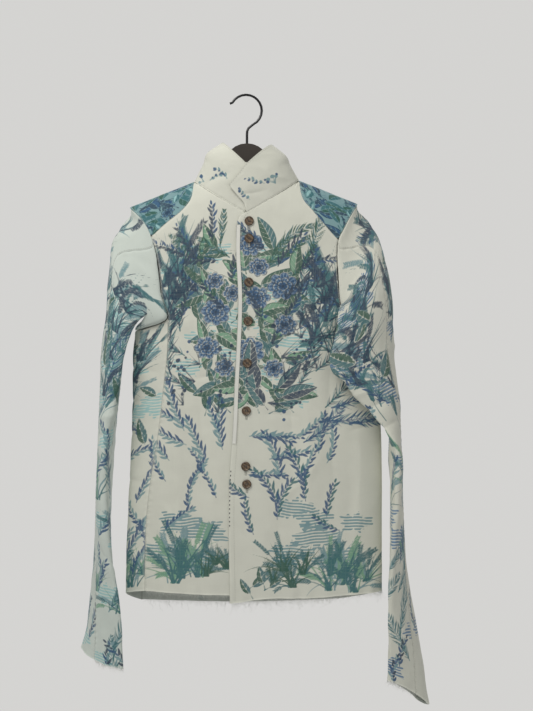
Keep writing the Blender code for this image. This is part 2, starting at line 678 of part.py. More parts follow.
def pull_in(points, insets):
    """Draw the first, last, top and low edge of a grid inward, square to each edge."""
    shift = np.zeros_like(points)
    for axis, edge, inner, inset in zip((0, 0, 1, 1), (0, -1, 0, -1), (1, -2, 1, -2), insets):
        rows = np.moveaxis(points, axis, 0)
        run = rows[inner] - rows[edge]
        along_edge = np.gradient(rows[edge], axis=0)
        along_edge /= np.linalg.norm(along_edge, axis=1, keepdims=True)
        run -= np.sum(run * along_edge, axis=1, keepdims=True) * along_edge
        run /= np.maximum(np.linalg.norm(run, axis=1, keepdims=True), 0.5)
        np.moveaxis(shift, axis, 0)[edge] += run * inset
    points += shift


def grid_mesh(name, point, columns, rows, insets):
    """Open surface whose grid of points is laid out by a function of two shares."""
    points = np.array([[point(i / columns, j / rows) for j in range(rows + 1)]
                       for i in range(columns + 1)])
    pull_in(points, insets)
    grid = bmesh.new()
    bmesh.ops.create_grid(grid, x_segments=columns, y_segments=rows, size=0.5)
    for vertex in grid.verts:
        i = round((vertex.co.x + 0.5) * columns)
        j = round((0.5 - vertex.co.y) * rows)
        vertex.co = Vector(points[i, j]) * MM
    mesh = bpy.data.meshes.new(name)
    grid.to_mesh(mesh)
    grid.free()
    mesh.shade_smooth()
    return mesh


def add_wall(sheet, thickness):
    """Give an open surface the thickness of its cloth, half to each side."""
    wall = sheet.modifiers.new("wall", "SOLIDIFY")
    wall.thickness = thickness * MM
    wall.offset = 0.0


def add_cloth(name, point, columns, rows, collection, colour=CLOTH_CREAM, thickness=WALL,
              insets=SEAM_INSETS):
    """One cut piece of cloth as a thin wall."""
    mesh = grid_mesh(name, point, columns, rows, insets)
    sheet = add_object(name, mesh, collection, make_material(name, colour, 0.9))
    add_wall(sheet, thickness)
    return sheet


def build_body(collection):
    """Fronts, side panels, back and yoke."""
    add_cloth("front_left", front_left_point, 16, FRONT_ROWS, collection)
    add_cloth("front_right", front_right_point, 16, FRONT_ROWS, collection)
    add_cloth("side_right", side_right_point, 8, 14, collection)
    add_cloth("side_left", side_left_point, 6, 12, collection)
    add_cloth("back", back_point, 14, 20, collection)
    add_cloth("yoke", lambda u, w: yoke_point(min(max(u, 0.004), 0.996), w), 40, 5, collection,
              YOKE_BLUE, insets=YOKE_INSETS)


def build_collar(collection):
    """The stand collar."""
    add_cloth("collar", collar_sheet_point, 34, 7, collection, insets=COLLAR_INSETS)


RIGHT = Sleeve(RIGHT_ARM, RIGHT_SLEEVE, RIGHT_FRONT_SEAM, RIGHT_FIRST_RUN)
LEFT = Sleeve(LEFT_ARM, LEFT_SLEEVE, LEFT_FRONT_SEAM, LEFT_FIRST_RUN)


def build_sleeves(collection):
    """Two sleeves of two pieces each."""
    for side, sleeve in (("right", RIGHT), ("left", LEFT)):
        add_cloth(f"sleeve_{side}_under", sleeve.under_point, 11, 24, collection,
                  insets=SLEEVE_INSETS)
        add_cloth(f"sleeve_{side}_upper", sleeve.upper_point, 11, 24, collection,
                  insets=SLEEVE_INSETS)


def front_out_point(x, drop, clear):
    """Point in front of the upper front's outer face."""
    out = upper_front_out(x) + WALL / 2 + clear
    return body_point(turn_at(x, drop, FRONT), drop, out)


def free_edge_x(drop):
    """x of the upper front's free edge."""
    xs, drops = zip(*FREE_EDGE)
    return float(spline(drops, xs, drop))


def build_front_strip(collection):
    """The raised fold along the free edge, made from the front's own points moved out."""
    def point(u, w):
        drop = STRIP_TOP + (STRIP_BOTTOM - STRIP_TOP) * w
        return front_out_point(free_edge_x(drop) + 0.4 + STRIP_WIDTH * u, drop,
                               0.3 + STRIP_THICKNESS / 2)
    add_cloth("front_edge_strip", point, 2, 18, collection, thickness=STRIP_THICKNESS)


def button_mesh(collection, cutters):
    """A turned four-hole button with a raised rim, its back on the XY plane."""
    radius, thick = BUTTON_DIAMETER / 2, BUTTON_THICKNESS
    outline = [(0.0, thick - 0.9), (radius - 2.4, thick - 0.9), (radius - 1.2, thick),
               (radius, thick - 0.8), (radius - 0.6, 0.0), (0.0, 0.0)]
    profile = bpy.data.meshes.new("button_profile")
    profile.from_pydata([(x * MM, 0.0, z * MM) for x, z in outline],
                        [(k, k + 1) for k in range(len(outline) - 1)], [])
    blank = add_object("button_blank", profile, collection)
    screw = blank.modifiers.new("turn", "SCREW")
    screw.steps = screw.render_steps = 16
    screw.use_merge_vertices = True
    screw.merge_threshold = 0.00001
    holes = bmesh.new()
    for k in range(4):
        angle = math.radians(45 + 90 * k)
        hole = bmesh.ops.create_cone(holes, cap_ends=True, segments=5, radius1=0.85 * MM,
                                     radius2=0.85 * MM, depth=8 * MM)
        bmesh.ops.translate(holes, verts=hole["verts"],
                            vec=(1.9 * MM * math.cos(angle), 1.9 * MM * math.sin(angle), 0.0))
    hole_mesh = bpy.data.meshes.new("button_holes")
    holes.to_mesh(hole_mesh)
    holes.free()
    cutter = add_object("button_holes", hole_mesh, cutters)
    cutter.hide_render = True
    cutter.display_type = "WIRE"
    drill = blank.modifiers.new("holes", "BOOLEAN")
    drill.object = cutter
    drill.operation = "DIFFERENCE"
    drill.solver = "EXACT"
    graph = bpy.context.evaluated_depsgraph_get()
    mesh = bpy.data.meshes.new_from_object(blank.evaluated_get(graph))
    bpy.data.objects.remove(blank, do_unlink=True)
    bpy.data.objects.remove(cutter, do_unlink=True)
    mesh.shade_smooth()
    mesh.set_sharp_from_angle(angle=math.radians(35))
    return mesh


def build_buttons(collection, cutters):
    """Eight buttons sewn on through the upper front."""
    mesh = button_mesh(collection, cutters)
    mesh.materials.append(make_material("button", HORN_BROWN, 0.45))
    for number, (x, drop) in enumerate(BUTTONS, start=1):
        clear = BUTTON_GAP
        middle = Vector(front_out_point(x, drop, clear))
        right = Vector(front_out_point(x + 5, drop, clear)) - Vector(
            front_out_point(x - 5, drop, clear))
        up = Vector(front_out_point(x, drop - 5, clear)) - Vector(
            front_out_point(x, drop + 5, clear))
        button = add_object(f"button_{number}", mesh, collection)
        button.rotation_mode = "QUATERNION"
        button.rotation_quaternion = right.cross(up).to_track_quat("Z", "Y")
        button.location = middle * MM


def fringe_mesh(name, edge, strands, drop_per_length):
    """Comb of threads below an edge: a narrow strip with tapering threads drawn down from it."""
    rng = np.random.default_rng(len(name) * 7 + strands)
    stops = [0.0]
    for _ in range(strands):
        gap = rng.uniform(0.5, 1.5)
        stops += [stops[-1] + gap, stops[-1] + gap + 0.1]
    stops.append(stops[-1] + 0.6)
    stops = np.array(stops) / stops[-1]
    comb = bmesh.new()
    bmesh.ops.create_grid(comb, x_segments=2 * strands + 1, y_segments=1, size=0.5)
    threads = []
    for face in list(comb.faces):
        column = int(round((face.calc_center_median().x + 0.5) * (2 * strands + 1) - 0.5))
        if column % 2 == 1:
            threads.append((column, min(face.edges, key=lambda e: sum(v.co.y for v in e.verts))))
    where = {vertex: (vertex.co.x + 0.5, vertex.co.y < 0) for vertex in comb.verts}
    columns = 2 * strands + 1
    for vertex, (share, low) in where.items():
        place = np.array(edge(stops[int(round(share * columns))]))
        below = 0.8 + (1.4 if low else 0.0)
        vertex.co = Vector(place + np.array([0.0, 0.0, -below])) * MM
    for column, root in threads:
        length = rng.uniform(4.0, 9.0) if rng.random() < 0.6 else rng.uniform(10.0, 19.0)
        length *= drop_per_length
        lean = rng.uniform(-0.35, 0.35)
        lower = root
        for step in (0.5, 0.5):
            made = bmesh.ops.extrude_edge_only(comb, edges=[lower])["geom"]
            tips = [item for item in made if isinstance(item, bmesh.types.BMVert)]
            lower = next(item for item in made if isinstance(item, bmesh.types.BMEdge)
                         and all(v in tips for v in item.verts))
            centre = sum((v.co for v in tips), Vector()) / 2
            shift = Vector((lean * length * step, 0.0, -length * step)) * MM
            for vertex in tips:
                vertex.co = centre + (vertex.co - centre) * 0.62 + shift
            lean += rng.uniform(-0.3, 0.3)
    mesh = bpy.data.meshes.new(name)
    comb.to_mesh(mesh)
    comb.free()
    return mesh


def add_fringe(name, edge, strands, collection, length_scale=1.0):
    """Frayed edge as one node."""
    mesh = fringe_mesh(name, edge, strands, length_scale)
    fringe = add_object(name, mesh, collection, make_material(name, FRAYED_THREAD, 0.95))
    add_wall(fringe, FRINGE_THICKNESS)


def build_fringes(collection):
    """Frayed hems and cuffs."""
    add_fringe("hem_fringe_front_left", lambda s: front_left_point(0.02 + 0.93 * s, 1.0), 18,
               collection)
    add_fringe("hem_fringe_front_right", lambda s: front_right_point(0.02 + 0.76 * s, 1.0), 10,
               collection)
    add_fringe("hem_fringe_back", lambda s: back_point(0.03 + 0.94 * s, 1.0), 10, collection)
    for side, sleeve in (("right", RIGHT), ("left", LEFT)):
        add_fringe(f"cuff_fringe_{side}", lambda s, cuff=sleeve: cuff.under_point(
            0.03 + 0.6 * s, 1.0), 11, collection, 0.6)


def hanger_top(x):
    """Drop of the hanger arm's top edge, so that its corners just meet the cloth."""
    ridge = shoulder_drop(x)
    left, right, front, back = body_section(ridge)
    s = (x - (left + right) / 2) / ((right - left) / 2)
    depth = min(front, back) * max(1 - s * s, 0.0) ** (FOLD_ROUNDNESS / 2)
    half = HANGER_THICKNESS / 2 + WALL / 2 + 0.5
    return ridge + (half / depth) ** 2 * SHOULDER_ROUNDING * 0.625 + 1.2


def hanger_outline():
    """Outline of the flat hanger: round hump, sloping arms, rounded ends, straight lower edge."""
    hump = []
    centre_drop = HUMP_TOP_DROP + HUMP_RADIUS
    for degrees in range(-75, 76, 15):
        angle = math.radians(degrees)
        hump.append((HANGER_MIDDLE_X + HUMP_RADIUS * math.sin(angle),
                     centre_drop - HUMP_RADIUS * math.cos(angle)))
    right_arm = [(x, hanger_top(x) + 5.0 * (1 - ramp(x, 80, 115))) for x in (60, 84, 110, 135)]
    left_arm = [(x, hanger_top(x) + 5.0 * (1 - ramp(-x, 80, 115))) for x in (-135, -110, -84, -60)]
    right_end = [(HANGER_REACH_RIGHT - 6, hanger_top(HANGER_REACH_RIGHT - 6)),
                 (HANGER_REACH_RIGHT, hanger_top(HANGER_REACH_RIGHT) + 5),
                 (HANGER_REACH_RIGHT - 3, hanger_top(HANGER_REACH_RIGHT) + 15)]
    left_end = [(HANGER_REACH_LEFT + 3, hanger_top(HANGER_REACH_LEFT) + 15),
                (HANGER_REACH_LEFT, hanger_top(HANGER_REACH_LEFT) + 5),
                (HANGER_REACH_LEFT + 6, hanger_top(HANGER_REACH_LEFT + 6))]
    under = [(x, shoulder_drop(x) + ARM_DEPTH * (1 - 0.35 * abs(x) / 160)) for x in
             (120, 80, 40, -40, -80, -120)]
    return left_arm + hump + right_arm + right_end + under + left_end


def hook_path():
    """Middle line of the hook's wire, from its tip over the top and down into the hanger."""
    arc = [(HOOK_RADIUS * math.cos(math.radians(a)), 22.8 - HOOK_RADIUS * math.sin(math.radians(a)))
           for a in range(150, -46, -15)]
    start = (HOOK_RADIUS + 3) * math.cos(math.radians(157)), 22.8 - 27.8 * math.sin(
        math.radians(157))
    neck = [(9.5, 46.0), (3.8, 51.0), (1.9, 55.5), (HANGER_MIDDLE_X, 61.0)]
    return [start] + arc + neck + [(HANGER_MIDDLE_X, HUMP_TOP_DROP + 9.0)]


def add_curve(name, points, collection, material, cyclic):
    """Poly curve in the plane of the hanger, from points given by x and drop."""
    curve = bpy.data.curves.new(name, "CURVE")
    line = curve.splines.new("POLY")
    line.points.add(len(points) - 1)
    line.use_cyclic_u = cyclic
    thing = add_object(name, curve, collection, material)
    return thing, curve, line


def curve_to_mesh(thing, collection, material):
    """Replace a curve object by its closed mesh."""
    graph = bpy.context.evaluated_depsgraph_get()
    mesh = bpy.data.meshes.new_from_object(thing.evaluated_get(graph))
    shape = bmesh.new()
    shape.from_mesh(mesh)
    bmesh.ops.remove_doubles(shape, verts=shape.verts, dist=0.00001)
    shape.to_mesh(mesh)
    shape.free()
    name, place = thing.name, thing.matrix_world.copy()
    bpy.data.objects.remove(thing, do_unlink=True)
    solid = add_object(name, mesh, collection)
    if not mesh.materials:
        mesh.materials.append(material)
    solid.matrix_world = place
    return solid


def build_hanger(collection, cutters):
    """The flat hanger and its wire hook, which sits in a drilled hole."""
    brown = make_material("hanger", HANGER_BROWN, 0.7)
    outline = hanger_outline()
    thing, curve, line = add_curve("hanger", outline, collection, brown, True)
    curve.dimensions = "2D"
    curve.fill_mode = "BOTH"
    curve.extrude = HANGER_THICKNESS / 2 * MM
    for point, (x, drop) in zip(line.points, outline):
        point.co = (x * MM, -drop * MM, 0.0, 1.0)
    thing.rotation_euler = (math.radians(90), 0.0, 0.0)
    bpy.context.view_layer.update()
    hanger = curve_to_mesh(thing, collection, brown)

    hole = bmesh.new()
    bmesh.ops.create_cone(hole, cap_ends=True, segments=12, radius1=2.45 * MM, radius2=2.45 * MM,
                          depth=24 * MM)
    hole_mesh = bpy.data.meshes.new("hook_hole")
    hole.to_mesh(hole_mesh)
    hole.free()
    cutter = add_object("hook_hole", hole_mesh, cutters)
    cutter.location = (HANGER_MIDDLE_X * MM, 0.0, -(HUMP_TOP_DROP + 9.3 - 12.0) * MM)
    cutter.hide_render = True
    cutter.display_type = "WIRE"
    drill = hanger.modifiers.new("hook_hole", "BOOLEAN")
    drill.object = cutter
    drill.operation = "DIFFERENCE"
    drill.solver = "EXACT"

    path = hook_path()
    wire, curve, line = add_curve("hanger_hook", path, collection,
                                  make_material("hanger_hook", BLACK_WIRE, 0.4), False)
    curve.dimensions = "3D"
    curve.bevel_depth = HOOK_WIRE / 2 * MM
    curve.bevel_resolution = 2
    curve.use_fill_caps = True
    for point, (x, drop) in zip(line.points, path):
        point.co = (x * MM, 0.0, -drop * MM, 1.0)


def main():
    """Build the whole object."""
    collection, cutters = clear_scene()
    build_hanger(collection, cutters)
    build_body(collection)
    build_collar(collection)
    build_sleeves(collection)
    build_front_strip(collection)
    build_buttons(collection, cutters)
    build_fringes(collection)


main()
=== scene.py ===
"""Looks of a printed canvas jacket with a stand collar, hung on its flat hanger.

The shapes are worked out in millimetres, with the drop counted down from the inner top of the
hook, and turned into metres where a mesh is made.
"""

import logging
import math
from collections import namedtuple
from dataclasses import dataclass, field
from enum import Enum
from functools import lru_cache
from typing import Any, Callable, Sequence

import bpy
import numpy as np
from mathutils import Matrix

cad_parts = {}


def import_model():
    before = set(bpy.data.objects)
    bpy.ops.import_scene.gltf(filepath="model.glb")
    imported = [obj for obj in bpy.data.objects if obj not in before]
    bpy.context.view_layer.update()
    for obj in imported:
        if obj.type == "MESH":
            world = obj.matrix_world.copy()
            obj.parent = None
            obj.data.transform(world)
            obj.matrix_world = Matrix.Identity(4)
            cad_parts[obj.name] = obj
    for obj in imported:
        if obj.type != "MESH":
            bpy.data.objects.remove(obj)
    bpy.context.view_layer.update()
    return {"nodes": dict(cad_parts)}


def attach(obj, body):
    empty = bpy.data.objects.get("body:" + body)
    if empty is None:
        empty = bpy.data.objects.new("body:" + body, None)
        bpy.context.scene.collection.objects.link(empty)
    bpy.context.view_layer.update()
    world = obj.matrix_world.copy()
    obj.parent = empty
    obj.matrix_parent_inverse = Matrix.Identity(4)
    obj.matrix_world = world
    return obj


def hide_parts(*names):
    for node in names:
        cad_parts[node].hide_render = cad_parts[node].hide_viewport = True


LOG = logging.getLogger("jacket")
Rows = Any                                     # a row of numbers or of points
Reader = Callable[[float], np.ndarray]         # a line, read by a share from 0 to 1
Surface = Callable[[float, float], np.ndarray]
Insets = tuple[float, float, float, float]
Rgb = tuple[float, float, float]

MM = 0.001
WALL = 1.2                  # thickness of the canvas

SLEEVE_STANDOFF = 0.3       # share of its way forward that a sleeve has already at the armhole
RIDGE_PACKING = 1.7         # readings lie closer together near the shoulder ridge and underarm
FRONT_ROWS = 20
ROW_PACKING = 1.5           # rows of the fronts lie closer together near the top
UNDERARM_PACKING = 1.3
INNER_FOLD_U = 6 / 11       # where on the under sleeve its inner fold lies
FOLD_PACKING = 1.6
ARMHOLE_PACKING = 1.25      # rows of a sleeve lie closer together near the armhole
LAP_OUT = 2.2               # how far the upper front lies in front of the lower one
COLLAR_LAP_OUT = 2.4
FOLD_ROUNDNESS = 0.8        # 1 gives an elliptic body section, less gives a boxier one
SHOULDER_ROUNDING = 80.0    # drop over which the cloth turns from the shoulder ridge to the front

LEFT_NECK_X, RIGHT_NECK_X = -80.8, 82.8
LEFT_NECK_DROP, RIGHT_NECK_DROP = 135.9, 134.0
NECK_FRONT_DROP, NECK_BACK_DROP = 190.4, 155.0
LEFT_SHOULDER_SLOPE, RIGHT_SHOULDER_SLOPE = 0.398, 0.399

Section = namedtuple("Section", "drop left right front back")
BODY = [
    # drop, left fold, right fold, front depth, back depth
    Section(100, -232, 232, 36, 30),
    Section(177, -226, 220, 37, 31),
    Section(240, -212, 212, 38, 32),
    Section(300, -195, 208, 38, 32),
    Section(371, -174, 206, 38, 32),
    Section(400, -177, 206, 37, 31),
    Section(480, -178, 209, 36, 30),
    Section(540, -180, 212.5, 35, 29),
    Section(604, -182, 213.6, 34, 28),
    Section(667, -185, 213.6, 33, 27),
    Section(730, -188, 213.5, 32, 26),
    Section(810, -190, 213, 30, 25),
]

Fold = namedtuple("Fold", "x_top drop_top x_bottom drop_bottom rise width")
FOLDS = [
    # a ridge where the rise is positive, a trough where it is negative
    Fold(-60, 190, -118, 330, 2.2, 16),
    Fold(-40, 230, -95, 420, -1.8, 18),
    Fold(70, 175, 60, 330, 2.0, 17),
    Fold(100, 240, 40, 470, -1.6, 20),
    Fold(-120, 420, -100, 700, 1.8, 16),
    Fold(-60, 520, -70, 760, -1.6, 22),
    Fold(110, 520, 90, 770, 2.2, 24),
    Fold(165, 560, 160, 760, -1.8, 16),
]

Seam = namedtuple("Seam", "x drop side")
FRONT, BACK = -1, 1
RIGHT_ARMHOLE = [
    # from the shoulder corner down the front, under the arm and up the back
    Seam(-183.0, 176.6, FRONT), Seam(-168.8, 189.6, FRONT), Seam(-153.5, 209.5, FRONT),
    Seam(-146.2, 224.9, FRONT), Seam(-137.1, 256.9, FRONT), Seam(-131.5, 305.0, FRONT),
    Seam(-129.0, 328.0, FRONT), Seam(-120.5, 351.1, FRONT), Seam(-147.0, 364.7, FRONT),
    Seam(-174.0, 371.0, FRONT), Seam(-150.0, 355.0, BACK), Seam(-136.0, 310.0, BACK),
    Seam(-138.0, 262.0, BACK), Seam(-150.0, 225.0, BACK), Seam(-168.0, 194.0, BACK),
    Seam(-183.0, 176.6, BACK),
]
LEFT_ARMHOLE = [
    Seam(175.8, 171.1, FRONT), Seam(164.4, 189.6, FRONT), Seam(154.4, 207.8, FRONT),
    Seam(143.1, 229.8, FRONT), Seam(141.3, 264.7, FRONT), Seam(144.3, 308.1, FRONT),
    Seam(150.7, 342.0, FRONT), Seam(168.4, 366.0, FRONT), Seam(190.0, 379.0, FRONT),
    Seam(206.0, 383.0, FRONT), Seam(190.0, 368.0, BACK), Seam(160.0, 320.0, BACK),
    Seam(150.0, 262.0, BACK), Seam(155.0, 222.0, BACK), Seam(166.0, 190.0, BACK),
    Seam(175.8, 171.1, BACK),
]
YOKE_POINT, ARMPIT, UNDERARM, BACK_ARMPIT = 3, 7, 9, 10
LEFT_BACK_SEAM, BACK_YOKE_CORNER = 11, 12

RIGHT_YOKE_SEAM = [(-146.2, 224.9), (-128.5, 208.5), (-117.4, 199.3), (-100.4, 186.0),
                   (-86.0, 168.0), (LEFT_NECK_X, LEFT_NECK_DROP)]
LEFT_YOKE_SEAM = [(RIGHT_NECK_X, RIGHT_NECK_DROP), (89.5, 167.0), (103.5, 184.0),
                  (125.5, 210.4), (143.1, 229.8)]
RIGHT_SIDE_SEAM = [(-120.5, 351.1), (-121.5, 402.0), (-127.5, 459.0), (-138.0, 545.0),
                   (-146.0, 591.0), (-154.0, 655.0), (-157.0, 734.0), (-157.0, 776.0)]
FREE_EDGE = [(-8.0, 193.5), (-12.9, 203.0), (-14.5, 224.0), (-11.6, 323.9),
             (-17.0, 454.7), (-20.8, 539.3), (-24.6, 588.5), (-24.6, 793.0)]
FREE_EDGE_TOP_X = -1.0
LOWER_FRONT_EDGE_X = 20.0
UPPER_FRONT_HEM = [(-24.6, 792.0), (-8.0, 790.0), (22.0, 785.5), (100.0, 785.0), (162.0, 781.5),
                   (213.0, 780.0)]
LOWER_FRONT_HEM = [(-157.0, 776.5), (-43.0, 780.5), (20.0, 779.5)]
BACK_HEM_DROP = 803.0
SIDE_HEM_DROP = 784.0
LEFT_SIDE_TURN = 106.0      # side seam just behind the left fold, in degrees from the front
LEFT_BACK_TURN, RIGHT_BACK_TURN = 138.0, -118.0

CollarRing = namedtuple("CollarRing", "level left right front back left_drop right_drop "
                                      "front_drop back_drop")
COLLAR = [
    # the lowest ring is the neckline itself
    CollarRing(0.45, -66.5, 69.5, -41, 31, 107.5, 110.0, 156.0, 117.0),
    CollarRing(0.80, -57.5, 60.0, -42, 33, 88.6, 93.0, 130.0, 96.0),
    CollarRing(1.00, -37.0, 41.0, -42, 32, 75.5, 79.0, 113.9, 86.0),
]
COLLAR_UNDER_END = 16.0     # degrees past the front middle, hidden under the lapped end
COLLAR_END = [(0.7, 183.5), (-2.3, 175.4), (-11.4, 164.7), (-25.6, 147.8)]

SleeveRing = namedtuple("SleeveRing", "outer_x outer_drop inner_x inner_drop outer_y inner_y "
                                      "corner half_thickness")
RIGHT_SLEEVE = [
    # outer tip (x, drop), inner tip (x, drop), how far back and forward, bend, half thickness
    SleeveRing(-200.0, 199.0, -148.0, 345.0, 2, -28, 0.35, 15),
    SleeveRing(-214.5, 251.0, -166.5, 359.0, 12, -30, 0.45, 15),
    SleeveRing(-219.5, 322.0, -178.5, 382.0, 28, -36, 0.45, 14),
    SleeveRing(-227.0, 385.0, -186.0, 410.0, 40, -48, 0.40, 13),
    SleeveRing(-230.0, 456.0, -193.0, 463.0, 47, -53, 0.30, 12),
    SleeveRing(-232.0, 542.0, -206.0, 544.0, 48, -54, 0.15, 10),
    SleeveRing(-236.5, 637.0, -209.5, 634.0, 45, -52, 0.15, 9),
    SleeveRing(-242.0, 716.0, -204.5, 712.0, 40, -48, 0.20, 9),
    SleeveRing(-249.0, 788.0, -193.5, 783.0, 32, -42, 0.30, 9),
    SleeveRing(-256.5, 851.0, -190.5, 850.0, 24, -36, 0.30, 8),
    SleeveRing(-262.5, 874.0, -190.5, 892.0, 18, -32, 0.30, 8),
]
LEFT_SLEEVE = [
    SleeveRing(195.0, 194.0, 152.0, 336.0, 3, -44, 0.50, 8),
    SleeveRing(219.0, 249.0, 139.5, 362.0, 8, -50, 0.95, 8),
    SleeveRing(230.0, 306.0, 135.5, 388.0, 16, -55, 0.97, 6),
    SleeveRing(232.5, 361.0, 129.0, 424.0, 24, -55, 0.97, 6),
    SleeveRing(235.5, 418.0, 152.5, 453.0, 32, -53, 1.00, 6),
    SleeveRing(242.0, 476.0, 181.5, 487.0, 38, -50, 1.00, 7),
    SleeveRing(244.0, 524.0, 211.5, 521.0, 44, -53, 0.60, 7),
    SleeveRing(245.0, 562.0, 224.5, 549.0, 48, -55, 0.10, 7),
    SleeveRing(247.0, 622.0, 225.5, 619.0, 46, -54, 0.10, 7),
    SleeveRing(250.5, 688.0, 223.5, 684.0, 44, -50, 0.15, 8),
    SleeveRing(257.0, 752.0, 220.5, 746.0, 40, -46, 0.20, 8),
    SleeveRing(268.0, 819.0, 219.5, 808.0, 32, -42, 0.25, 8),
    SleeveRing(279.0, 882.0, 220.5, 862.0, 24, -36, 0.30, 8),
    SleeveRing(290.5, 966.0, 220.5, 912.0, 15, -28, 0.30, 8),
]

RIGHT_FRONT_SEAM = [(0.0, 0.131), (0.03, 0.165), (0.061, 0.205), (0.117, 0.262), (0.19, 0.28),
                    (0.5, 0.27), (1.0, 0.26)]
LEFT_FRONT_SEAM = [(0.0, 0.140), (0.03, 0.168), (0.055, 0.190), (0.114, 0.220), (0.20, 0.225),
                   (0.40, 0.23), (0.52, 0.25), (1.0, 0.26)]
BACK_SEAM = [(0.0, 0.79), (0.15, 0.72), (1.0, 0.70)]

RIGHT_FIRST_RUN = [(0.0, (6, 0)), (0.2, (6, 2)), (0.35, (5, 6)), (0.42, (4, 7)), (0.5, (5, 8)),
                   (0.6, (8, -1)), (0.75, (6, -4)), (0.9, (6, -2)), (1.0, (6, 0))]
LEFT_FIRST_RUN = [(0.0, (6, 0)), (0.2, (6, 2)), (0.35, (4, 7)), (0.40, (4, 11)), (0.46, (9, 14)),
                  (0.5, (11, 14)), (0.56, (8, 8)), (0.64, (8, -2)), (0.75, (6, -4)), (0.9, (6, -2)), (1.0, (6, 0))]

BUTTONS = [(5.6, 202.5), (5.4, 229.1), (5.1, 296.5), (3.9, 356.4), (2.6, 421.0), (1.3, 494.4),
           (0.3, 579.9), (1.9, 607.4)]
STRIP_WIDTH, STRIP_TOP, STRIP_BOTTOM, STRIP_THICKNESS = 6.2, 208.0, 545.0, 0.8


def spline(knots: Rows, values: Rows, at: float) -> np.ndarray:
    """Smooth curve through values at the rising knots, read at one place.

    Args:
        knots: Rising places of the values.
        values: One value or point per knot.
        at: Place to read.

    Returns:
        The point or place.
    """
    knots = np.asarray(knots, float)
    values = np.asarray(values, float)
    slopes = np.gradient(values, knots, axis=0)
    i = int(np.clip(np.searchsorted(knots, at, side="right") - 1, 0, len(knots) - 2))
    step = knots[i + 1] - knots[i]
    t = min(max((at - knots[i]) / step, 0.0), 1.0)
    rising = t * t * (3 - 2 * t)
    return ((1 - rising) * values[i] + rising * values[i + 1]
            + step * t * (1 - t) * ((1 - t) * slopes[i] - t * slopes[i + 1]))


def chord_knots(points: Rows) -> np.ndarray:
    """Distance along a row of points, from 0 to 1."""
    steps = np.linalg.norm(np.diff(np.asarray(points, float), axis=0), axis=1)
    return np.concatenate([[0.0], np.cumsum(steps)]) / steps.sum()


def along(points: Rows, share: float) -> np.ndarray:
    """Point at a share of the way along a smooth line through the points."""
    return spline(chord_knots(points), points, share)


def ramp(value: float, low: float, high: float) -> float:
    """0 below low, 1 above high, smooth between."""
    t = min(max((value - low) / (high - low), 0.0), 1.0)
    return t * t * (3 - 2 * t)

BODY_DROPS = [section.drop for section in BODY]
BODY_VALUES = [section[1:] for section in BODY]


def body_section(drop: float) -> np.ndarray:
    """Left and right fold, front and back depth of the body at a drop."""
    return spline(BODY_DROPS, BODY_VALUES, drop)


def shoulder_drop(x: float) -> float:
    """Drop of the shoulder ridge, whose two slopes meet above the collar."""
    if x < (LEFT_NECK_X + RIGHT_NECK_X) / 2:
        return LEFT_NECK_DROP + (LEFT_NECK_X - x) * LEFT_SHOULDER_SLOPE
    return RIGHT_NECK_DROP + (x - RIGHT_NECK_X) * RIGHT_SHOULDER_SLOPE


def turn_at(x: float, drop: float, side: int) -> float:
    """Angle round the body of a point on its front or back, 0 at the front, in degrees.

    Args:
        x: Place across, in mm.
        drop: Distance below the origin, in mm.
        side: Front or back.

    Returns:
        Angle in degrees.
    """
    left, right, _, _ = body_section(drop)
    s = (x - (left + right) / 2) / ((right - left) / 2)
    turn = math.degrees(math.asin(min(max(s, -1.0), 1.0)))
    if side == FRONT:
        return turn
    return math.copysign(180.0, turn) - turn


def fold_relief(x: float, drop: float) -> float:
    """Height of the soft folds on the fronts.

    Args:
        x: Place across, in mm.
        drop: Distance below the origin, in mm.

    Returns:
        Height in mm.
    """
    total = 0.0
    for fold in FOLDS:
        run_x, run_drop = fold.x_bottom - fold.x_top, fold.drop_bottom - fold.drop_top
        length = math.hypot(run_x, run_drop)
        s = ((x - fold.x_top) * run_x + (drop - fold.drop_top) * run_drop) / length ** 2
        off = ((x - fold.x_top) * run_drop - (drop - fold.drop_top) * run_x) / length
        fade = ramp(s, -0.15, 0.35) * (1 - ramp(s, 0.65, 1.15))
        total += fold.rise * fade * math.exp(-(off / fold.width) ** 2)
    return total


def body_point(turn: float, drop: float, out: float = 0.0) -> np.ndarray:
    """Point on the body at an angle and a drop, moved out by a few millimetres.

    Args:
        turn: Angle round the body, in degrees.
        drop: Distance below the origin, in mm.
        out: Way out from the surface, in mm.

    Returns:
        The point or place.
    """
    left, right, front, back = body_section(drop)
    angle = math.radians(turn)
    x = (left + right) / 2 + (right - left) / 2 * math.sin(angle)
    below = max(drop - shoulder_drop(x), 0.0) / SHOULDER_ROUNDING
    over_shoulder = math.sqrt(max(1 - max(1 - below, 0.0) ** 2, 0.0))
    facing = math.cos(angle)
    depth = abs(facing) ** FOLD_ROUNDNESS * over_shoulder
    if facing > 0:
        y = -front * depth - fold_relief(x, drop) * facing * over_shoulder - out
    else:
        y = back * depth + out
    return np.array([x, y, -drop])


def neckline_drop(x: float, side: int) -> float:
    """Drop of the seam between collar and body, a V in front and a curve behind.

    Args:
        x: Place across, in mm.
        side: Front or back.

    Returns:
        Drop in mm.
    """
    middle = (LEFT_NECK_X + RIGHT_NECK_X) / 2
    s = (x - middle) / ((RIGHT_NECK_X - LEFT_NECK_X) / 2)
    neck = LEFT_NECK_DROP + (RIGHT_NECK_DROP - LEFT_NECK_DROP) * (s + 1) / 2
    inward = max(1 - abs(s), 0.0)
    if side == FRONT:
        return neck + (NECK_FRONT_DROP - neck) * inward ** 0.85
    return neck + (NECK_BACK_DROP - neck) * (1 - (1 - inward) ** 2)


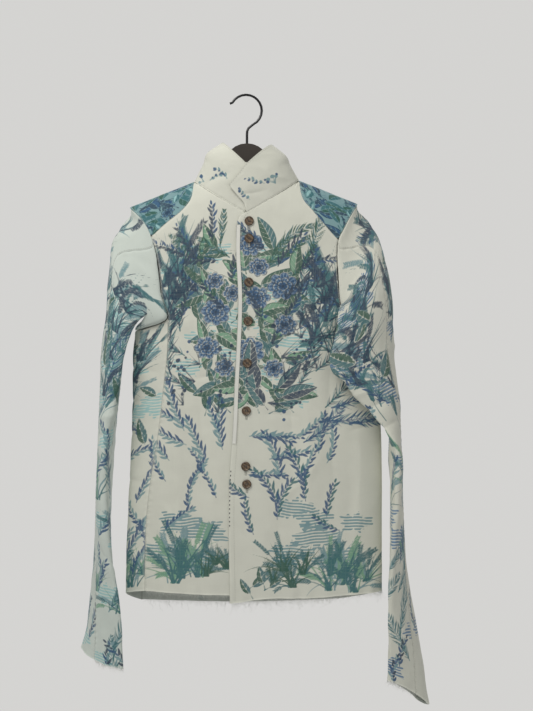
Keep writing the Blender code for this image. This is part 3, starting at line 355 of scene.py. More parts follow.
def on_front(place: Rows) -> np.ndarray:
    """Turn and drop of a point given by x and drop on the front."""
    x, drop = place
    return np.array([turn_at(x, drop, FRONT), drop])


class Armhole:
    """Closed seam round one arm, as a smooth line of turn and drop on the body."""

    def __init__(self, seams: list[Seam]) -> None:
        """Set up the seam.

        Args:
            seams: Points of the seam in order.
        """
        self.line = np.array([(turn_at(seam.x, seam.drop, seam.side), seam.drop)
                              for seam in seams])
        placed = np.array([body_point(*place) for place in self.line])
        steps = np.linalg.norm(np.diff(placed, axis=0), axis=1)
        run = np.concatenate([[0.0], np.cumsum(steps)])
        front = run[UNDERARM]
        self.knots = np.where(run <= front, 0.5 * run / front,
                              0.5 + 0.5 * (run - front) / (run[-1] - front))

    def place(self, share: float) -> np.ndarray:
        """Turn and drop: 0 and 1 at the shoulder corner, a half under the arm."""
        return spline(self.knots, self.line, share)

    def point(self, share: float) -> np.ndarray:
        """Point in space on the armhole."""
        return body_point(*self.place(share))

    def span(self, first: int, last: int) -> Reader:
        """The stretch between two of its named points, read by a share."""
        start, finish = self.knots[first], self.knots[last]
        return lambda share: self.place(start + (finish - start) * share)

RIGHT_ARM = Armhole(RIGHT_ARMHOLE)
LEFT_ARM = Armhole(LEFT_ARMHOLE)


def four_sided(
        u: float,
        w: float,
        top: Reader,
        bottom: Reader,
        left: Reader,
        right: Reader,
) -> np.ndarray:
    """Place inside a panel bounded by four curves, each read by a share of its length.

    Args:
        u: Share across the piece.
        w: Share down the piece.
        top: Upper curve.
        bottom: Lower curve.
        left: First side curve.
        right: Other side curve.

    Returns:
        The point or place.
    """
    top_bow = top(u) - (1 - u) * top(0) - u * top(1)
    bottom_bow = bottom(u) - (1 - u) * bottom(0) - u * bottom(1)
    return (1 - u) * left(w) + u * right(w) + (1 - w) ** 6 * top_bow + w ** 3 * bottom_bow


def joined(first: Reader, second: Reader, share_at_joint: float) -> Reader:
    """One line from two, with the corner between them at a given share.

    Args:
        first: First item.
        second: Line after the joint.
        share_at_joint: Share at which the lines meet.

    Returns:
        The whole line.
    """
    def read(share):
        if share < share_at_joint:
            return first(share / share_at_joint)
        return second((share - share_at_joint) / (1 - share_at_joint))
    return read


def line(*points: Rows) -> Reader:
    """Smooth line through points, read by a share."""
    return lambda share: along(points, share)


def front_line(points: Rows) -> Reader:
    """Smooth line through points given by x and drop, read as turn and drop."""
    return lambda share: on_front(along(points, share))


def packed_first(read: Reader) -> Reader:
    """The same line with its readings packed closer near its start."""
    return lambda share: read(share ** RIDGE_PACKING)


def packed_last(read: Reader) -> Reader:
    """The same line with its readings packed closer near its end."""
    return lambda share: read(1 - (1 - share) ** RIDGE_PACKING)


def upper_front_out(x: float) -> float:
    """How far the upper front stands off, fading out away from the lap."""
    return LAP_OUT * (1 - ramp(x, 35.0, 90.0))


def neckline(first_x: float, last_x: float, side: int = FRONT) -> Reader:
    """The neckline from one x to another, read as turn and drop.

    Args:
        first_x: Where the stretch starts.
        last_x: Where the stretch ends.
        side: Front or back.

    Returns:
        The line.
    """
    def read(share):
        x = first_x + (last_x - first_x) * share
        drop = neckline_drop(x, side)
        return np.array([turn_at(x, drop, side), drop])
    return read


def seam_line(start: Rows, low_turn: float, low_drop: float) -> Reader:
    """A seam running down from a point of the armhole to the hem."""
    return line(start, ((start[0] + low_turn) / 2, (start[1] + low_drop) / 2),
                (low_turn, low_drop))


def row_share(row: int) -> float:
    """Share down a front at which one of its rows lies."""
    return (row / FRONT_ROWS) ** ROW_PACKING


def evened(read: Reader) -> Reader:
    """The same line read so that rows packed near the top lie closer near its low end."""
    return lambda share: read(1 - (1 - share ** (1 / ROW_PACKING)) ** UNDERARM_PACKING)

RIGHT_YOKE_LINE = packed_last(front_line(RIGHT_YOKE_SEAM))
LEFT_YOKE_LINE = packed_first(front_line(LEFT_YOKE_SEAM))
LEFT_SIDE_LINE = seam_line(LEFT_ARM.line[UNDERARM], LEFT_SIDE_TURN, 784.0)
LEFT_BACK_LINE = seam_line(LEFT_ARM.line[LEFT_BACK_SEAM], LEFT_BACK_TURN, BACK_HEM_DROP - 6)
RIGHT_BACK_LINE = seam_line(RIGHT_ARM.line[BACK_ARMPIT], RIGHT_BACK_TURN, BACK_HEM_DROP - 6)


def front_left_point(u: float, w: float) -> np.ndarray:
    """The upper front, from its free edge round to the side seam.

    Args:
        u: Share across the piece.
        w: Share down the piece.

    Returns:
        The point or place.
    """
    w = w ** ROW_PACKING
    top = joined(neckline(FREE_EDGE_TOP_X, RIGHT_NECK_X), LEFT_YOKE_LINE, 0.5)
    right = joined(evened(LEFT_ARM.span(YOKE_POINT, UNDERARM)), LEFT_SIDE_LINE, row_share(10))
    start = (FREE_EDGE_TOP_X, neckline_drop(FREE_EDGE_TOP_X, FRONT))
    left = joined(front_line([start] + FREE_EDGE[:3]), front_line(FREE_EDGE[2:]),
                  row_share(4))
    hem = joined(front_line(UPPER_FRONT_HEM[:-1]),
                 line(on_front(UPPER_FRONT_HEM[-2]), (90.0, 780.0), (LEFT_SIDE_TURN, 784.0)), 0.75)
    turn, drop = four_sided(u, w, top, hem, left, right)
    return body_point(turn, drop, upper_front_out(body_point(turn, drop)[0]))


def front_right_point(u: float, w: float) -> np.ndarray:
    """The lower front, from the side seam to its edge hidden under the other front.

    Args:
        u: Share across the piece.
        w: Share down the piece.

    Returns:
        The point or place.
    """
    w = w ** ROW_PACKING
    top = joined(RIGHT_YOKE_LINE, neckline(LEFT_NECK_X, LOWER_FRONT_EDGE_X), 0.5)
    left = joined(evened(RIGHT_ARM.span(YOKE_POINT, ARMPIT)), front_line(RIGHT_SIDE_SEAM),
                  row_share(9))
    neck_end = (LOWER_FRONT_EDGE_X, neckline_drop(LOWER_FRONT_EDGE_X, FRONT))
    edge = front_line([neck_end, (LOWER_FRONT_EDGE_X, 480.0), LOWER_FRONT_HEM[-1]])
    turn, drop = four_sided(u, w, top, front_line(LOWER_FRONT_HEM), left, edge)
    return body_point(turn, drop)


def side_right_point(u: float, w: float) -> np.ndarray:
    """The panel under the wearer's right arm, from the back seam to the front one.

    Args:
        u: Share across the piece.
        w: Share down the piece.

    Returns:
        The point or place.
    """
    hem = line((RIGHT_BACK_TURN, BACK_HEM_DROP - 6), (-90.0, SIDE_HEM_DROP),
               on_front(RIGHT_SIDE_SEAM[-1]))
    turn, drop = four_sided(u, w, RIGHT_ARM.span(BACK_ARMPIT, ARMPIT), hem, RIGHT_BACK_LINE,
                            front_line(RIGHT_SIDE_SEAM))
    return body_point(turn, drop)


def side_left_point(u: float, w: float) -> np.ndarray:
    """The panel under the wearer's left arm, which lies round the fold.

    Args:
        u: Share across the piece.
        w: Share down the piece.

    Returns:
        The point or place.
    """
    hem = line((LEFT_SIDE_TURN, 784.0), (LEFT_BACK_TURN, BACK_HEM_DROP - 6))
    turn, drop = four_sided(u, w, LEFT_ARM.span(UNDERARM, LEFT_BACK_SEAM), hem,
                            LEFT_SIDE_LINE, LEFT_BACK_LINE)
    return body_point(turn, drop)

BACK_YOKE_DROP = 262.0


def back_yoke_seam(share: float) -> np.ndarray:
    """Straight seam between yoke and back, from the left armhole to the right one.

    Args:
        share: Share of the way along, from 0 to 1.

    Returns:
        The point or place.
    """
    start = LEFT_ARM.line[BACK_YOKE_CORNER][0]
    finish = 360.0 + RIGHT_ARM.line[BACK_YOKE_CORNER][0]
    return np.array([start + (finish - start) * share, BACK_YOKE_DROP])


def full_turn(read: Reader) -> Reader:
    """The same line with its turn counted on past the middle of the back."""
    return lambda share: read(share) + np.array([360.0, 0.0])


def back_point(u: float, w: float) -> np.ndarray:
    """The back below the yoke, between the two side panels.

    Args:
        u: Share across the piece.
        w: Share down the piece.

    Returns:
        The point or place.
    """
    left = joined(LEFT_ARM.span(BACK_YOKE_CORNER, LEFT_BACK_SEAM), LEFT_BACK_LINE, 0.15)
    right = joined(full_turn(packed_last(RIGHT_ARM.span(BACK_YOKE_CORNER, BACK_ARMPIT))),
                   full_turn(RIGHT_BACK_LINE), 0.2)
    hem = line((LEFT_BACK_TURN, BACK_HEM_DROP - 6), (180.0, BACK_HEM_DROP),
               (RIGHT_BACK_TURN + 360.0, BACK_HEM_DROP - 6))
    turn, drop = four_sided(u, w, back_yoke_seam, hem, left, right)
    return body_point(turn, drop)


def over_shoulder_place(place: Rows) -> np.ndarray:
    """x and signed way over the shoulder ridge, negative in front, from turn and drop.

    Args:
        place: A pair of numbers.

    Returns:
        The point or place.
    """
    turn, drop = place
    x = body_point(turn, drop)[0]
    below = drop - shoulder_drop(x)
    if below < SHOULDER_ROUNDING:
        way = SHOULDER_ROUNDING * math.acos(min(max(1 - below / SHOULDER_ROUNDING, -1.0), 1.0))
    else:
        way = SHOULDER_ROUNDING * math.pi / 2 + below - SHOULDER_ROUNDING
    return np.array([x, way if math.cos(math.radians(turn)) < 0 else -way])


def over_shoulder_point(x: float, way: float) -> np.ndarray:
    """Point on the body from x and the signed way over the ridge.

    Args:
        x: Place across, in mm.
        way: Signed way over the ridge, in mm.

    Returns:
        The point or place.
    """
    if abs(way) < SHOULDER_ROUNDING * math.pi / 2:
        below = SHOULDER_ROUNDING * (1 - math.cos(way / SHOULDER_ROUNDING))
    else:
        below = SHOULDER_ROUNDING + abs(way) - SHOULDER_ROUNDING * math.pi / 2
    side = FRONT if way < 0 else BACK
    drop = shoulder_drop(x) + below
    return body_point(turn_at(x, drop, side), drop)


def runs(*parts: Reader) -> Reader:
    """One line from several, each taking the same share of it.

    Args:
        parts: Lines in order.

    Returns:
        The whole line.
    """
    def read(share):
        k = min(int(share * len(parts)), len(parts) - 1)
        return parts[k](share * len(parts) - k)
    return read

YOKE_NECK = neckline(LEFT_NECK_X, RIGHT_NECK_X, BACK)
YOKE_OUTER = runs(packed_last(RIGHT_ARM.span(YOKE_POINT, 0)),
                  packed_first(RIGHT_ARM.span(-1, BACK_YOKE_CORNER)),
                  lambda share: back_yoke_seam(1 - share),
                  packed_last(LEFT_ARM.span(BACK_YOKE_CORNER, -1)),
                  packed_first(LEFT_ARM.span(0, YOKE_POINT)))
YOKE_INNER = joined(joined(RIGHT_YOKE_LINE, YOKE_NECK, 0.25), LEFT_YOKE_LINE, 0.80)


def yoke_point(u: float, w: float) -> np.ndarray:
    """The yoke, from the wearer's right point over the upper back to the left one.

    Args:
        u: Share across the piece.
        w: Share down the piece.

    Returns:
        The point or place.
    """
    outer = over_shoulder_place(YOKE_OUTER(u))
    inner = over_shoulder_place(YOKE_INNER(u))
    return over_shoulder_point(*((1 - w) * inner + w * outer))


def collar_ring_point(ring: Any, theta: float) -> np.ndarray:
    """Point on one ring of the collar; theta is 0 at the front and 90 at the left side.

    Args:
        ring: One ring of the table.
        theta: Angle round the neck, in degrees.

    Returns:
        The point or place.
    """
    angle = math.radians(theta)
    s = math.sin(angle)
    x = (ring.left + ring.right) / 2 + (ring.right - ring.left) / 2 * s
    side_drop = ring.left_drop + (ring.right_drop - ring.left_drop) * (s + 1) / 2
    facing = math.cos(angle)
    inward = 1 - abs(s)
    if facing > 0:
        return np.array([x, ring.front * facing ** FOLD_ROUNDNESS,
                         -side_drop - (ring.front_drop - side_drop) * inward])
    return np.array([x, ring.back * (-facing) ** FOLD_ROUNDNESS,
                     -side_drop - (ring.back_drop - side_drop) * (1 - (1 - inward) ** 2)])


def collar_point(theta: float, level: float) -> np.ndarray:
    """Point on the collar at an angle and a level, 0 at the neckline and 1 at the top edge.

    Args:
        theta: Angle round the neck, in degrees.
        level: 0 at the neckline, 1 at the top edge.

    Returns:
        The point or place.
    """
    s = math.sin(math.radians(theta))
    x = (LEFT_NECK_X + RIGHT_NECK_X) / 2 + (RIGHT_NECK_X - LEFT_NECK_X) / 2 * s
    side = FRONT if math.cos(math.radians(theta)) > 0 else BACK
    drop = neckline_drop(x, side)
    base = body_point(turn_at(x, drop, side), drop)
    rings = [base] + [collar_ring_point(ring, theta) for ring in COLLAR]
    point = spline([0.0] + [ring.level for ring in COLLAR], rings, level)
    lap = COLLAR_LAP_OUT * ramp(-theta, 255.0, 320.0)
    return point + np.array([0.0, -lap, 0.0])


def collar_sheet_point(u: float, w: float) -> np.ndarray:
    """The collar from its hidden end round the neck to the lapped end.

    Args:
        u: Share across the piece.
        w: Share down the piece.

    Returns:
        The point or place.
    """
    ring_share = 30 / 34
    level = 1 - w
    if u <= ring_share:
        theta = COLLAR_UNDER_END - (360.0 + COLLAR_UNDER_END) * u / ring_share
        return collar_point(theta, level)
    reach = (u - ring_share) / (1 - ring_share)
    start = collar_point(-360.0, level)
    end_x, end_drop = along(COLLAR_END, level)
    end = np.array([end_x, start[1] + 0.6, -end_drop])
    return (1 - reach) * start + reach * end


def ring_outline(ring: Any, way_round: float) -> tuple[np.ndarray, float]:
    """Place on a ring before it is fitted to its width, and the share from inner to outer tip.

    Args:
        ring: One ring of the table.
        way_round: Share round the ring.

    Returns:
        Place and share.
    """
    to_outer = 1.0 if ring.outer_x > ring.inner_x else -1.0
    inner = np.array([ring.inner_x + to_outer * ring.half_thickness, ring.inner_y])
    outer = np.array([ring.outer_x - to_outer * ring.half_thickness, ring.outer_y])
    bend = np.array([ring.outer_x, ring.inner_y])
    control = (inner + outer) / 2 * (1 - ring.corner) + bend * ring.corner
    s = 0.5 * (1 + math.cos(2 * math.pi * way_round))
    middle = (1 - s) ** 2 * inner + 2 * s * (1 - s) * control + s ** 2 * outer
    run = 2 * (1 - s) * (control - inner) + 2 * s * (outer - control)
    run /= np.linalg.norm(run)
    across = np.array([run[1], -run[0]]) * to_outer
    lift = math.sin(2 * math.pi * way_round)
    puff = math.copysign(abs(lift) ** 0.7, lift) * ring.half_thickness
    tip = (2 * s - 1) ** 5 * ring.half_thickness * 0.6
    return middle + across * puff + run * tip, s


@lru_cache(maxsize=None)
def ring_extent(ring: Any) -> tuple[float, float]:
    """Least and greatest x of a ring before it is fitted."""
    xs = [ring_outline(ring, k / 48)[0][0] for k in range(48)]
    return min(xs), max(xs)


def sleeve_ring_point(ring: Any, share: float) -> np.ndarray:
    """Point on one ring of a sleeve: 0 at the outer tip, a quarter in front, a half inside.

    Args:
        ring: One ring of the table.
        share: Share of the way along, from 0 to 1.

    Returns:
        The point or place.
    """
    low, high = ring_extent(ring)
    wanted = sorted((ring.inner_x, ring.outer_x))
    (x, y), s = ring_outline(ring, share)
    x = wanted[0] + (x - low) / (high - low) * (wanted[1] - wanted[0])
    return np.array([x, y, -(1 - s) * ring.inner_drop - s * ring.outer_drop])


class Sleeve:
    """One sleeve, a row of flattened rings from the armhole down to the cuff."""

    def __init__(
            self,
            armhole: Armhole,
            rings: list[SleeveRing],
            front_seam: list[tuple],
            first_run: list[tuple],
    ) -> None:
        """Set up the seam.

        Args:
            armhole: Seam that the sleeve starts from.
            rings: Rings in order.
            front_seam: Table of the front seam.
            first_run: Table of the first stretch.
        """
        self.armhole = armhole
        self.rings = rings
        self.front_seam = front_seam
        self.first_run = first_run
        self.hole = np.mean([armhole.point(share / 16) for share in range(16)], axis=0)
        middles = [np.mean([self.ring(k, share / 8) for share in range(8)], axis=0)
                   for k in range(2, len(rings) + 2)]
        lengths = np.linalg.norm(np.diff(middles, axis=0), axis=1)
        run = np.concatenate([[0.0, 10.0, 40.0], 40.0 + np.cumsum(lengths)])
        self.knots = run / run[-1]

    def ring(self, k: int, share: float) -> np.ndarray:
        """Point on ring k, where ring 0 is the armhole and ring 1 lies a little way out of it.

        Args:
            k: Number of the ring.
            share: Share of the way along, from 0 to 1.

        Returns:
            The point or place.
        """
        share = share % 1.0
        if k > 1:
            return sleeve_ring_point(self.rings[k - 2], share)
        shares, runs_out = zip(*self.first_run)
        inward, forward = spline(shares, runs_out, share)
        seam = self.armhole.point(share)
        inside = (self.hole - seam) * (1, 0, 1)
        step = inside / np.linalg.norm(inside) * inward + np.array([0.0, -forward, 0.0])
        return seam + step * (SLEEVE_STANDOFF if k == 0 else 1.0)

    def point(self, share: float, down: float) -> np.ndarray:
        """Point on the sleeve, by the share round it and the share of the way down."""
        column = [self.ring(k, share) for k in range(len(self.rings) + 2)]
        return spline(self.knots, column, down)

    def seams(self, down: float) -> tuple[float, ...]:
        """Shares round the sleeve at which its front and back seams lie."""
        return tuple(float(spline(*zip(*table), down)) for table in (self.front_seam, BACK_SEAM))

    def under_point(self, u: float, w: float) -> np.ndarray:
        """The front and inner piece of the sleeve.

        Args:
            u: Share across the piece.
            w: Share down the piece.

        Returns:
            The point or place.
        """
        down = w ** ARMHOLE_PACKING
        front, back = self.seams(down)
        if u < INNER_FOLD_U:
            share = 0.5 - (0.5 - front) * (1 - u / INNER_FOLD_U) ** FOLD_PACKING
        else:
            share = 0.5 + (back - 0.5) * ((u - INNER_FOLD_U) / (1 - INNER_FOLD_U)) ** FOLD_PACKING
        return self.point(share, down)

    def upper_point(self, u: float, w: float) -> np.ndarray:
        """The outer piece of the sleeve.

        Args:
            u: Share across the piece.
            w: Share down the piece.

        Returns:
            The point or place.
        """
        down = w ** ARMHOLE_PACKING
        front, back = self.seams(down)
        return self.point(back + (1 + front - back) * u, down)

RIGHT = Sleeve(RIGHT_ARM, RIGHT_SLEEVE, RIGHT_FRONT_SEAM, RIGHT_FIRST_RUN)
LEFT = Sleeve(LEFT_ARM, LEFT_SLEEVE, LEFT_FRONT_SEAM, LEFT_FIRST_RUN)


def front_out_point(x: float, drop: float, clear: float) -> np.ndarray:
    """Point in front of the upper front's outer face."""
    out = upper_front_out(x) + WALL / 2 + clear
    return body_point(turn_at(x, drop, FRONT), drop, out)


def free_edge_x(drop: float) -> float:
    """x of the upper front's free edge."""
    xs, drops = zip(*FREE_EDGE)
    return float(spline(drops, xs, drop))

# ---- cloth print -------------------------------------------------------------------------

class Ink(Enum):
    """Inks of the print, each with its own screen, from the darkest to the palest."""

    NAVY = 0
    ROYAL = 1
    TEAL = 2
    GREEN = 3
    SAGE = 4
    GREY_BLUE = 5
    AQUA = 6
    LILAC = 7


class Plant(Enum):
    """Kinds of growth that a bed can hold."""

    BLOSSOM = "blossom"
    LEAF = "leaf"
    TUFT = "tuft"
    FERN = "fern"
    EAR = "ear"
    SPRIG = "sprig"
    BERRY = "berry"
    WASH = "wash"


@dataclass(frozen=True)
class Bed:
    """A patch of cloth on which one kind of plant grows, in the cloth's own millimetres."""

    plant: Plant
    x: float
    y: float
    spread_x: float
    spread_y: float
    count: int
    size: float
    lean: float = 0.0           # mean lean from upright, in degrees
    swing: float = 35.0         # how far the lean varies
    inks: tuple[Ink, ...] = (Ink.NAVY, Ink.TEAL)


@dataclass
class Screens:
    """One field per ink over a flat piece of cloth: millimetres inside the inked shape."""

    low: np.ndarray
    high: np.ndarray
    pitch: float = 0.8
    far: float = 2.5
    fields: np.ndarray = field(init=False)
    across: np.ndarray = field(init=False)
    down: np.ndarray = field(init=False)

    def __post_init__(self) -> None:
        """Lay out the empty screens."""
        self.across = np.arange(self.low[0] - 3, self.high[0] + 3, self.pitch)
        self.down = np.arange(self.low[1] - 3, self.high[1] + 3, self.pitch)
        self.fields = np.full((len(Ink), len(self.down), len(self.across)), -self.far, np.float32)

    def spot(self, x: float, y: float, reach: float) -> tuple[Any, np.ndarray, np.ndarray]:
        """Part of the screens round a place.

        Args:
            x: Place across.
            y: Place down.
            reach: Half the side of the square to take.

        Returns:
            Slices of the screens, and the offsets of their cells from the place.
        """
        i = np.searchsorted(self.across, (x - reach, x + reach))
        j = np.searchsorted(self.down, (y - reach, y + reach))
        part = (slice(j[0], j[1]), slice(i[0], i[1]))
        off_x, off_y = np.meshgrid(self.across[part[1]] - x, self.down[part[0]] - y)
        return part, off_x, off_y

    def add(self, ink: Ink, part: Any, inside: np.ndarray) -> None:
        """Print a shape, given as millimetres inside it, with one ink."""
        screen = self.fields[ink.value][part]
        np.maximum(screen, np.clip(inside, -self.far, self.far), out=screen)

    def clear(self, part: Any, inside: np.ndarray) -> None:
        """Leave a shape unprinted in all inks."""
        screens = self.fields[(slice(None),) + part]
        np.minimum(screens, np.clip(-inside, -self.far, self.far), out=screens)

    def dots(self, ink: Ink, points: np.ndarray, radii: np.ndarray) -> None:
        """Print a row of round dots, close enough together to make strokes.

        Args:
            ink: Ink to print with.
            points: Middle of each dot.
            radii: Radius of each dot.
        """
        i = np.round((points[:, 0] - self.across[0]) / self.pitch).astype(int)
        j = np.round((points[:, 1] - self.down[0]) / self.pitch).astype(int)
        reach = int(math.ceil((float(radii.max()) + 1.2) / self.pitch))
        screen = self.fields[ink.value]
        for dj in range(-reach, reach + 1):
            for di in range(-reach, reach + 1):
                column, row = i + di, j + dj
                held = ((column >= 0) & (column < len(self.across))
                        & (row >= 0) & (row < len(self.down)))
                off = np.hypot(self.across[column[held]] - points[held, 0],
                               self.down[row[held]] - points[held, 1])
                np.maximum.at(screen, (row[held], column[held]),
                              (radii[held] - off).astype(np.float32))

    def read(self, places: np.ndarray) -> np.ndarray:
        """Fields of all inks at places on the cloth.

        Args:
            places: Array of places, whose last axis is across and down.

        Returns:
            Array of the same shape, whose last axis is the ink.
        """
        i = np.clip((places[..., 0] - self.across[0]) / self.pitch, 0, len(self.across) - 1.001)
        j = np.clip((places[..., 1] - self.down[0]) / self.pitch, 0, len(self.down) - 1.001)
        i0, j0 = i.astype(int), j.astype(int)
        s, t = i - i0, j - j0
        corners = ((1 - t) * (1 - s) * self.fields[:, j0, i0] + (1 - t) * s * self.fields[:, j0, i0 + 1]
                   + t * (1 - s) * self.fields[:, j0 + 1, i0] + t * s * self.fields[:, j0 + 1, i0 + 1])
        return np.moveaxis(corners, 0, -1)


@dataclass
class Garden:
    """Draws generic plants on the screens of one piece of cloth."""

    screens: Screens
    seed: int
    rng: np.random.Generator = field(init=False)

    def __post_init__(self) -> None:
        """Seed the small differences between plants."""
        self.rng = np.random.default_rng(self.seed)

    def grow(self, beds: Sequence[Bed]) -> None:
        """Fill the beds in order, later ones over earlier ones."""
        draw = {Plant.BLOSSOM: self.blossom, Plant.LEAF: self.leaf, Plant.TUFT: self.tuft,
                Plant.FERN: self.fern, Plant.EAR: self.ear, Plant.SPRIG: self.sprig,
                Plant.BERRY: self.berries, Plant.WASH: self.wash}
        for bed in beds:
            for k in range(bed.count):
                # places are spread evenly by a low-discrepancy row, then moved a little
                a = ((k + 0.5) * 0.7548777 + self.rng.normal(0, 0.04)) % 1.0 * 2 - 1
                b = ((k + 0.5) * 0.5698403 + self.rng.normal(0, 0.04)) % 1.0 * 2 - 1
                x, y = bed.x + a * bed.spread_x, bed.y + b * bed.spread_y
                lean = math.radians(bed.lean + self.rng.uniform(-bed.swing, bed.swing))
                size = bed.size * self.rng.uniform(0.75, 1.25)
                draw[bed.plant](x, y, lean, size, bed.inks)

    def stroke(self, x: float, y: float, lean: float, length: float, bend: float, thick: float,
               ink: Ink, bulge: bool = False) -> np.ndarray:
        """Curved stroke that starts at a place and tapers, or bulges like a small leaf.

        Args:
            x: Place across where it starts.
            y: Place down where it starts.
            lean: Lean from upright, in radians.
            length: Its length.
            bend: How far it turns on its way, in radians.
            thick: Its greatest half width.
            ink: Ink to print with.
            bulge: True for a leaf shape, false for a taper.

        Returns:
            Its points, from start to tip.
        """
        count = max(int(length / 0.7), 4)
        share = np.linspace(0, 1, count)
        heading = lean + bend * share
        step = length / (count - 1)
        xs = x + np.concatenate([[0], np.cumsum(np.sin(heading[:-1]) * step)])
        ys = y - np.concatenate([[0], np.cumsum(np.cos(heading[:-1]) * step)])
        points = np.stack([xs, ys], axis=1)
        profile = np.sin(np.pi * share ** 0.8) if bulge else (1 - share) ** 0.6
        self.screens.dots(ink, points, np.maximum(thick * profile, 0.12))
        return points

    def leaf(self, x: float, y: float, lean: float, size: float, inks: tuple[Ink, ...]) -> None:
        """Broad two-tone leaf with clear veins."""
        self.shaded_leaf(x, y, lean, size, size * self.rng.uniform(0.34, 0.46), inks)

    def shaded_leaf(self, x: float, y: float, lean: float, length: float, width: float,
                    inks: tuple[Ink, ...]) -> None:
        """One leaf from its stalk to its tip.

        Args:
            x: Place across of the stalk.
            y: Place down of the stalk.
            lean: Lean from upright, in radians.
            length: Length of the blade.
            width: Greatest width.
            inks: Ink of the shaded half, and ink of the lit half.
        """
        part, off_x, off_y = self.screens.spot(x, y, length * 1.15)
        s = (off_x * math.sin(lean) - off_y * math.cos(lean)) / length
        t = off_x * math.cos(lean) + off_y * math.sin(lean)
        t = t - 0.18 * length * s * (1 - s) * self.rng.choice((-1, 1))
        half = width / 2 * np.sin(np.pi * np.clip(s, 0, 1) ** 0.75) ** 0.85
        body = np.where((s > 0) & (s < 1), half - np.abs(t), -self.screens.far)
        self.screens.clear(part, body + 0.9)
        self.screens.add(inks[0], part, np.minimum(body, t - 0.3))
        self.screens.add(inks[-1], part, np.minimum(body, -t - 0.3))
        run = (s * length - np.abs(t) * 1.1) / 8.5
        vein = 0.55 - np.abs(run - np.round(run)) * 8.5 * 0.7
        self.screens.clear(part, np.minimum(vein, body - 1.0))
        self.screens.add(inks[0], part, np.minimum(0.6 - np.abs(body - 0.4), 0.7))
        self.stroke(x - math.sin(lean) * 9, y + math.cos(lean) * 9, lean, 10.0, 0.0, 0.9, inks[0])

    def blossom(self, x: float, y: float, lean: float, size: float,
                inks: tuple[Ink, ...]) -> None:
        """Open flower with two rings of pale petals, fine shading lines and a dark heart."""
        part, off_x, off_y = self.screens.spot(x, y, size * 0.72)
        r, angle = np.hypot(off_x, off_y * 1.12), np.arctan2(off_y, off_x) - lean
        for ring, (share, petals, turn) in enumerate(((0.5, 7, 0.0), (0.33, 6, 0.5), (0.19, 5, 0.2))):
            reach = size * share
            wave = np.abs(np.cos((angle + turn) * petals / 2))
            body = reach * (0.74 + 0.26 * wave ** 0.7) - r
            self.screens.clear(part, body + 0.5)
            hatch = 0.8 * np.sin((angle + turn) * petals * 3) + 1.6 * (0.75 - r / reach)
            self.screens.add(inks[1], part, np.minimum(body - 0.9, 0.8))
            self.screens.add(inks[-1], part, np.minimum(hatch, body - 0.9))
            self.screens.clear(part, 0.5 - np.abs(body - reach * 0.14))
            self.screens.add(inks[0], part, 0.6 - np.abs(body))
            gap = 0.7 - r * np.abs(np.sin((angle + turn - np.pi / petals) * petals / 2)) * 0.35
            self.screens.add(inks[0], part, np.minimum(gap, np.minimum(body, r - reach * 0.42)))
        self.screens.add(Ink.NAVY, part, size * 0.045 - r)
        ring_of_dots = 0.55 - np.hypot(r - size * 0.085, r * np.sin(angle * 5) / 5)
        self.screens.add(Ink.NAVY, part, ring_of_dots)

    def tuft(self, x: float, y: float, lean: float, size: float, inks: tuple[Ink, ...]) -> None:
        """Tuft of fine curved grass blades."""
        for k in range(22):
            out = self.rng.normal(0, 0.42)
            blade = self.stroke(x + self.rng.normal(0, size * 0.05), y, lean + out,
                                size * self.rng.uniform(0.4, 0.95), out * 1.3, 1.05,
                                inks[k % len(inks)])
            if k % 4 == 0:
                for at in range(len(blade) // 2, len(blade) - 3, 5):
                    for side in (-1, 1):
                        self.stroke(blade[at, 0], blade[at, 1], lean + out * 1.9 + side * 0.6,
                                    size * 0.09, 0.0, 0.85, inks[k % len(inks)], bulge=True)

    def fern(self, x: float, y: float, lean: float, size: float, inks: tuple[Ink, ...]) -> None:
        """Feathery frond: a bent rib with fine leaflets on both sides."""
        rib = self.stroke(x, y, lean, size, self.rng.uniform(-0.7, 0.7), 0.95, inks[0])
        headings = np.arctan2(np.gradient(rib[:, 0]), -np.gradient(rib[:, 1]))
        for k in range(6, len(rib) - 2, 6):
            share = k / len(rib)
            length = size * 0.25 * math.sin(math.pi * min(share * 0.8 + 0.15, 1.0))
            for side in (-1, 1):
                self.stroke(rib[k, 0], rib[k, 1],
                            headings[k] + side * self.rng.uniform(0.45, 0.9), length,
                            -side * self.rng.uniform(0.1, 0.6), 0.95,
                            inks[(k // 6) % len(inks)], bulge=share > 0.3)

    def ear(self, x: float, y: float, lean: float, size: float, inks: tuple[Ink, ...]) -> None:
        """Ear of grain on its stalk, with awns."""
        stalk = self.stroke(x, y, lean, size, self.rng.uniform(-0.5, 0.5), 0.8, inks[0])
        headings = np.arctan2(np.gradient(stalk[:, 0]), -np.gradient(stalk[:, 1]))
        for k in range(int(len(stalk) * 0.55), len(stalk), 6):
            for side in (-1, 1):
                self.stroke(stalk[k, 0], stalk[k, 1], headings[k] + side * 0.55, 7.5,
                            -side * 0.4, 1.5, inks[k // 6 % len(inks)], bulge=True)
                self.stroke(stalk[k, 0], stalk[k, 1], headings[k] + side * 0.4, 19.0,
                            -side * 0.15, 0.55, inks[0])

